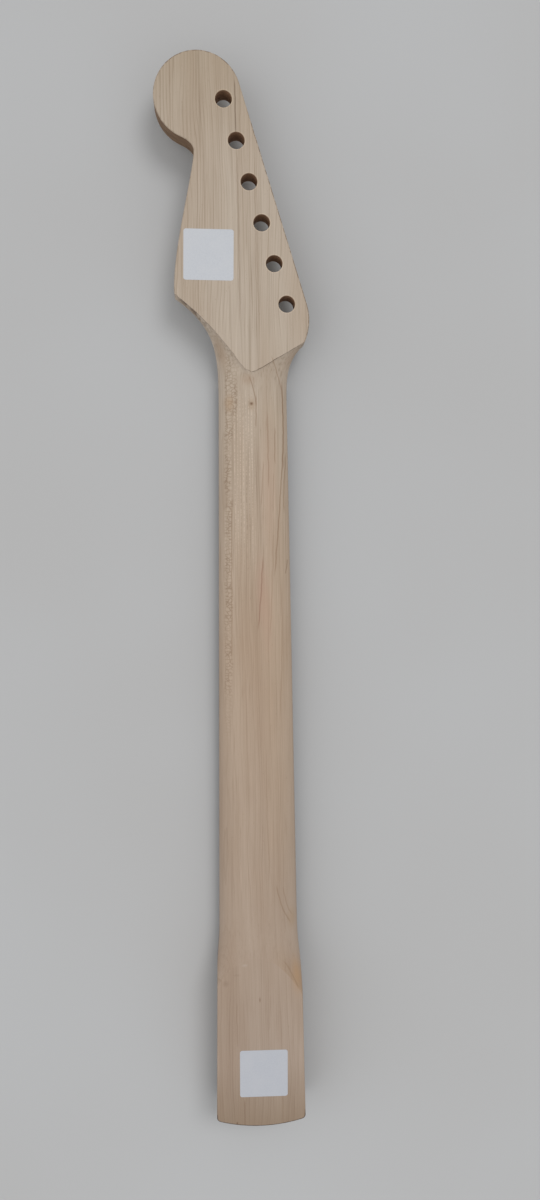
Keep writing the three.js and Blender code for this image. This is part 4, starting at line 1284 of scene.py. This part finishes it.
def make_maple(rings, pores, spot, line):
    """Sanded maple; its marks, its lines, the burn of the saw and painted shade lie over the plain wood.
    """
    tree = Finish("maple", 0.7)
    place = tree.here
    run = tree.axis(place, "Y")
    grown = tree.group(rings, Place=place, Pith=(-112, 0, 64), Spacing=1.3, Wander=15)
    pore = tree.group(pores, Place=place, Width=0.35, Length=2.4, Share=0.06)["Pore"]
    broad = tree.noise(place, (0.045, 0.006, 0.045), 3, 0.55)
    streak = tree.noise(place, (0.32, 0.006, 0.32), 3, 0.6, lift=11)
    pins = tree.noise(place, (0.85, 0.011, 0.85), 3, 0.65, lift=21)
    subtle = tree.span(run, 290, 390, 0.35, 1)
    streaky = tree.times(tree.span(run, 520, 474, 0.15, 1), subtle)
    pinned = tree.times(tree.span(run, 490, 510, 0.75, 0.45), subtle)
    ramp = tree.between(run, 88, 108, 132, 152)
    flare = tree.between(run, 452, 470, 486, 500)
    calm = tree.maths("SUBTRACT", 1, tree.times(tree.maths("ADD", ramp, flare), 0.65))
    dark_streak = tree.times(tree.span(streak, 0.5, 0.75), streaky)
    pale_streak = tree.times(tree.span(streak, 0.46, 0.28), streaky)
    ring_strength = tree.times(grown["Ring"], tree.span(run, 474, 504, 0.6, 1))
    shaft = tree.between(run, 130, 200, 440, 470)
    loop, hollow = lace_figure(tree, place)
    wood = tree.ramp(tree.maths("DIVIDE", run, WOOD_SPAN), WOOD_TONES)
    wood = tree.tinted(wood, [
        ((0.93, 0.9, 0.87), tree.span(broad, 0.4, 0.65)),
        ((1.04, 1.05, 1.06), tree.span(broad, 0.5, 0.3)),
        ((0.84, 0.79, 0.75), tree.times(dark_streak, 0.26)),
        ((1.12, 1.14, 1.16), tree.times(pale_streak, 0.45)),
        ((0.92, 0.9, 0.88), tree.times(grown["Tone"], 0.4)),
        ((0.66, 0.6, 0.54), tree.times(ring_strength, calm)),
        ((0.76, 0.73, 0.69), tree.times(tree.span(pins, 0.52, 0.66), pinned)),
        ((1.1, 1.11, 1.12), tree.times(tree.span(pins, 0.46, 0.32), pinned)),
        ((0.74, 0.68, 0.62), tree.times(tree.span(grown["Fibre"], 0.42, 0.26, 0, 0.75), calm)),
        ((1.12, 1.12, 1.12), tree.times(tree.span(grown["Fibre"], 0.53, 0.72, 0, 0.75), calm)),
        ((0.7, 0.62, 0.55), tree.times(pore, 0.6)),
        ((1.2, 1.21, 1.22), pale_dashes(tree, place)),
        # painted light: the bass half of the shaft a little lighter
        ((1.035, 1.035, 1.025), tree.times(tree.span(tree.axis(place, "X"), 3, 10), shaft)),
        ((0.74, 0.69, 0.64), loop),
        ((1.06, 1.07, 1.07), hollow),
        ((0.95, 0.91, 0.85), beyond_arch(tree, place)),
    ])
    for middle, reach, colour, strength in MAPLE_MARKS:
        mark = tree.group(spot, Place=place, Middle=middle, Reach=reach)["Spot"]
        wood = tree.layered(wood, [(colour, tree.times(mark, strength))])
    for start, end, bow, width, colour, strength in MAPLE_LINES:
        mark = tree.group(line, Place=place, Start=(*start, 0), End=(*end, 0), Bow=bow, Width=width)
        wood = tree.layered(wood, [(colour, tree.times(mark["Line"], strength))])
    # Burn of the rims, with painted shade under the V edge and on the carve's steep sides, and a painted
    # contact shadow at the heel's end
    burn = tree.add("ShaderNodeAttribute", {}, "Fac", attribute_name="burn")
    patchy = tree.span(tree.noise(place, (0.3, 0.3, 0.1), 3, 0.7, lift=13), 0.4, 0.56)
    burnt_and_shaded = tree.times(tree.span(burn, 0, 1, smooth=False), patchy)
    charred_and_shaded = tree.span(burn, 1.2, 2, 0, 0.85, smooth=False)
    wood = tree.layered(wood, [((104, 82, 62), tree.times(burnt_and_shaded, 0.8)), ((62, 44, 32), charred_and_shaded)])
    wood = tree.tinted(wood, [((1.22, 1.22, 1.2), tree.span(burn, 0, -1, smooth=False))])
    sanding = tree.noise(place, (3, 3, 3), 3, 0.7, lift=5)
    relief = tree.maths("ADD", grown["Fibre"], tree.times(sanding, 0.5))
    relief = tree.maths("SUBTRACT", relief, tree.times(pore, 0.8))
    rough = tree.span(grown["Fibre"], 0.2, 0.8, 0.78, 0.62)
    return tree.done(wood, Roughness=rough, Normal=tree.raised(relief, 0.00004, 0.6))


def make_sawn_maple(pores):
    """Side walls of the blank, left rough and a little burnt by the saw, with painted shade on the
    treble side wall under the ball.
    """
    tree = Finish("sawn_maple", 0.82)
    place = tree.here
    side, run = tree.axis(place, "X"), tree.axis(place, "Y")
    blade = tree.noise(place, (0.25, 0.25, 1.6), 4, 0.65)
    patch = tree.noise(place, (0.06, 0.06, 0.12), 2, lift=8)
    pore = tree.group(pores, Place=place, Width=0.35, Length=2, Share=0.1)["Pore"]
    wood = tree.layered(srgb(164, 141, 119), [
        ((134, 110, 89), tree.span(blade, 0.35, 0.68)),
        ((116, 92, 72), tree.span(patch, 0.5, 0.72, 0, 0.6)),
        ((92, 70, 54), tree.times(pore, 0.5)),
    ])
    corner = tree.span(side, -1, 1, CORNER_RUNS[0], CORNER_RUNS[1])
    sawn = tree.span(tree.maths("SUBTRACT", run, corner), 0, 16)
    sawn = tree.maths("ADD", sawn, tree.span(run, 12, 9), clamp=True)
    wood = tree.blended(srgb(182, 163, 144), wood, sawn)
    # painted shade on the treble side wall under the ball
    painted_ball_shade = tree.times(tree.span(run, 545, 590), tree.span(side, -14, -20))
    wood = tree.tinted(wood, [((0.6, 0.53, 0.45), painted_ball_shade)])
    return tree.done(wood, Normal=tree.raised(tree.times(blade, sawn), 0.0002, 0.7))


def make_drilled_maple():
    """Walls of the tuner holes: wood darkened by the drill, with its rings."""
    tree = Finish("drilled_maple", 0.8)
    rub = tree.noise(tree.here, (0.4, 0.4, 5), 3, 0.6)
    wood = tree.layered(srgb(158, 124, 96), [((112, 84, 62), tree.span(rub, 0.35, 0.65))])
    return tree.done(wood, Normal=tree.raised(rub, 0.0001, 0.6))


def make_rosewood(rings, pores):
    tree = Finish("rosewood", 0.55)
    place = tree.here
    grown = tree.group(rings, Place=place, Pith=(30, 0, -150), Spacing=3.1, Wander=22)
    broad = tree.noise(place, (0.09, 0.008, 0.09), 3, 0.55)
    pore = tree.group(pores, Place=place, Width=0.3, Length=3.6, Share=0.16)["Pore"]
    wood = tree.layered(srgb(82, 54, 41), [
        ((58, 38, 31), tree.span(broad, 0.35, 0.65)),
        ((34, 23, 20), tree.times(grown["Ring"], 0.75)),
        ((112, 74, 54), tree.span(grown["Fibre"], 0.55, 0.8, 0, 0.5)),
        ((24, 16, 14), tree.times(pore, 0.85)),
    ])
    relief = tree.maths("SUBTRACT", tree.times(grown["Fibre"], 0.4), pore)
    rough = tree.span(pore, 0, 1, 0.5, 0.8)
    return tree.done(wood, Roughness=rough, Normal=tree.raised(relief, 0.00008, 0.7))


def make_metal(name, colour, dull_colour, roughness, wear, thread=False):
    """Handled metal; with thread, ridges of a screw thread run round the rod, with painted shade in
    their grooves.
    """
    tree = Finish(name, roughness)
    worn = tree.group(wear, Place=tree.here)
    shade = tree.span(worn["Dull"], 0.4, 0.7, 0, 0.6)
    shade = tree.layered(srgb(*colour), [(dull_colour, shade)])
    if thread:
        turn = tree.times(tree.axis(tree.here, "Y"), MM / THREAD_PITCH)
        flank = tree.maths("PINGPONG", turn, 0.5)
        # painted shade in the thread's grooves
        shade = tree.tinted(shade, [((0.4, 0.4, 0.4), tree.span(flank, 0.2, 0))])
        relief = tree.raised(flank, 0.0004)
    else:
        relief = tree.raised(worn["Scratch"], 0.00001, 0.4)
    rough = tree.span(worn["Scratch"], 0, 1, roughness, roughness + 0.14)
    return tree.done(shade, Metallic=1, Roughness=rough, Normal=relief)


def make_bone():
    tree = Finish("bone", 0.42)
    cloud = tree.noise(tree.here, (0.25, 0.25, 0.25), 3)
    vein = tree.noise(tree.here, (0.5, 4, 4), 3, 0.6, lift=9)
    bone = tree.layered(srgb(226, 219, 202), [
        ((205, 195, 172), tree.span(cloud, 0.35, 0.7)),
        ((188, 174, 148), tree.span(vein, 0.6, 0.75, 0, 0.45)),
    ])
    return tree.done(bone, Normal=tree.raised(vein, 0.00002, 0.5))


def make_pearl():
    tree = Finish("pearl", 0.22)
    layers = tree.noise(tree.here, (0.35, 0.9, 0.35), 4, 0.6)
    tint = tree.noise(tree.here, (0.6, 0.3, 0.6), 2, lift=17)
    shell = tree.layered(srgb(228, 228, 222), [
        ((192, 198, 200), tree.span(layers, 0.4, 0.62)),
        ((224, 200, 206), tree.span(tint, 0.5, 0.7, 0, 0.5)),
        ((192, 216, 204), tree.span(tint, 0.45, 0.3, 0, 0.5)),
    ])
    tree.shader["Coat Weight"].default_value = 0.3
    return tree.done(shell, Roughness=tree.span(layers, 0.3, 0.7, 0.18, 0.34))


def make_paper():
    tree = Finish("paper", 0.62)
    pulp = tree.noise(tree.here, (1.2, 1.2, 1.2), 4, 0.65)
    cloud = tree.noise(tree.here, (0.09, 0.09, 0.09), 2, lift=4)
    paper = tree.layered(srgb(200, 203, 208), [
        ((194, 197, 203), tree.span(pulp, 0.35, 0.7)),
        ((202, 204, 208), tree.span(cloud, 0.4, 0.7, 0, 0.6)),
    ])
    shaded = tree.span(tree.axis(tree.here, "Y"), 400, 100)
    paper = tree.tinted(paper, [((0.88, 0.88, 0.9), shaded)])
    relief = tree.maths("ADD", tree.times(pulp, 0.08), cloud)
    return tree.done(paper, Normal=tree.raised(relief, 0.0002, 0.5))


def make_backdrop():
    tree = Finish("backdrop", 0.85)
    cloud = tree.noise(tree.here, (0.004, 0.004, 0.004), 2)
    return tree.done(tree.layered(srgb(186, 186, 186), [((189, 190, 191), tree.span(cloud, 0.3, 0.7))]))


# Camera and light
CAMERA_PLACE = Vector((-24.06, 366.01, 591.0)) * MM
CAMERA_TARGET = Vector((8.547, 330.022, 0)) * MM
CAMERA_ROLL = math.radians(0.561)
CAMERA_LENS = 29.163
LAMPS = [("window", (0.38, 0.5, 1.0), 30, 0.85), ("bounce", (-1.0, -0.2, 0.8), 70, 0.55)]
FILL_STRENGTH = 0.58
BACKDROP_COLOUR = (0.48, 0.48, 0.48, 1)
FLOOR_HALF = 6
FLOOR_CELLS = 8


def add_camera():
    data = bpy.data.cameras.new("camera")
    data.lens = CAMERA_LENS
    data.sensor_width = 36
    data.clip_start = 0.01
    data.clip_end = 20
    camera = placed("camera", data)
    back = (CAMERA_PLACE - CAMERA_TARGET).normalized()
    hint = Vector((math.sin(CAMERA_ROLL), math.cos(CAMERA_ROLL), 0))
    right = hint.cross(back).normalized()
    turn = Matrix((right, back.cross(right), back)).transposed().to_4x4()
    camera.matrix_world = Matrix.Translation(CAMERA_PLACE) @ turn
    scene.camera = camera


def add_lamps():
    """A wide soft light from above the headstock on the bass side, and a weak one opposite."""
    for name, aim, wide, strength in LAMPS:
        data = bpy.data.lights.new(name, "SUN")
        data.angle = math.radians(wide)
        data.energy = strength
        lamp = placed(name, data)
        turn = Vector(aim).to_track_quat("Z", "Y").to_matrix().to_4x4()
        lamp.matrix_world = Matrix.Translation(aim) @ turn


def add_world():
    """Even light from all round, behind which the camera and the metal see a pale backdrop."""
    world = bpy.data.worlds.new("room")
    world.use_nodes = True
    nodes = world.node_tree.nodes
    tree = Tree(world.node_tree)
    even = nodes["Background"]
    even.inputs["Color"].default_value = (1, 1, 1, 1)
    even.inputs["Strength"].default_value = FILL_STRENGTH
    seen = tree.add("ShaderNodeBackground", {"Color": BACKDROP_COLOUR, "Strength": 1.0})
    path = nodes.new("ShaderNodeLightPath").outputs
    share = tree.maths("ADD", path["Is Camera Ray"], path["Is Glossy Ray"], clamp=True)
    share = tree.maths("ADD", share, path["Is Transmission Ray"], clamp=True)
    mixed = tree.add("ShaderNodeMixShader", {0: share, 1: even.outputs[0], 2: seen})
    tree.feed(mixed, nodes["World Output"].inputs["Surface"])
    scene.world = world


def add_floor(material):
    mesh = bmesh.new()
    spot = Matrix.Translation((0, (HEEL_END + HEAD_TIP) / 2, FLOOR_Z))
    bmesh.ops.create_grid(mesh, x_segments=FLOOR_CELLS, y_segments=FLOOR_CELLS, size=FLOOR_HALF,
                          matrix=spot)
    floor = placed_mesh("floor", mesh, [material])


# Putting the neck together
growth_rings = make_growth_rings()
short_pores = make_short_pores()
soft_spot = make_soft_spot()
fine_wear = make_fine_wear()
maple = make_maple(growth_rings, short_pores, soft_spot, make_grain_line())
rosewood = make_rosewood(growth_rings, short_pores)
fret_metal = make_metal("fret_wire", (190, 188, 181), (160, 157, 150), 0.25, fine_wear)
steel = make_metal("rod_steel", (142, 143, 146), (96, 94, 92), 0.36, fine_wear)
thread = make_metal("rod_thread", (142, 143, 146), (96, 94, 92), 0.36, fine_wear, True)
brass = make_metal("adjuster_brass", (190, 156, 92), (142, 112, 64), 0.3, fine_wear)
bone = make_bone()
pearl = make_pearl()
paper = make_paper()

add_camera()
add_world()
add_lamps()
add_floor(make_backdrop())
make_blank([maple, make_drilled_maple(), make_sawn_maple(short_pores)])
make_fingerboard(rosewood)
for fret in FRETS:
    make_fret(fret, fret_metal)
make_nut(bone)
for dot in DOTS:
    make_face_dot(dot, pearl)
    make_side_dot(dot, pearl)
make_sticker("headstock_sticker", "headstock_label", HEAD_STICKER_TURN, paper)
make_sticker("heel_sticker", "heel_label", HEEL_STICKER_TURN, paper)
make_adjuster(brass)
for node in ["threaded_rod", "flat_bar", "front_block", "rear_block"]:
    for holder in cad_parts[f"truss_rod_{node}"].material_slots:
        holder.material = thread if node == "threaded_rod" else steel

scene.view_settings.view_transform = "Standard"
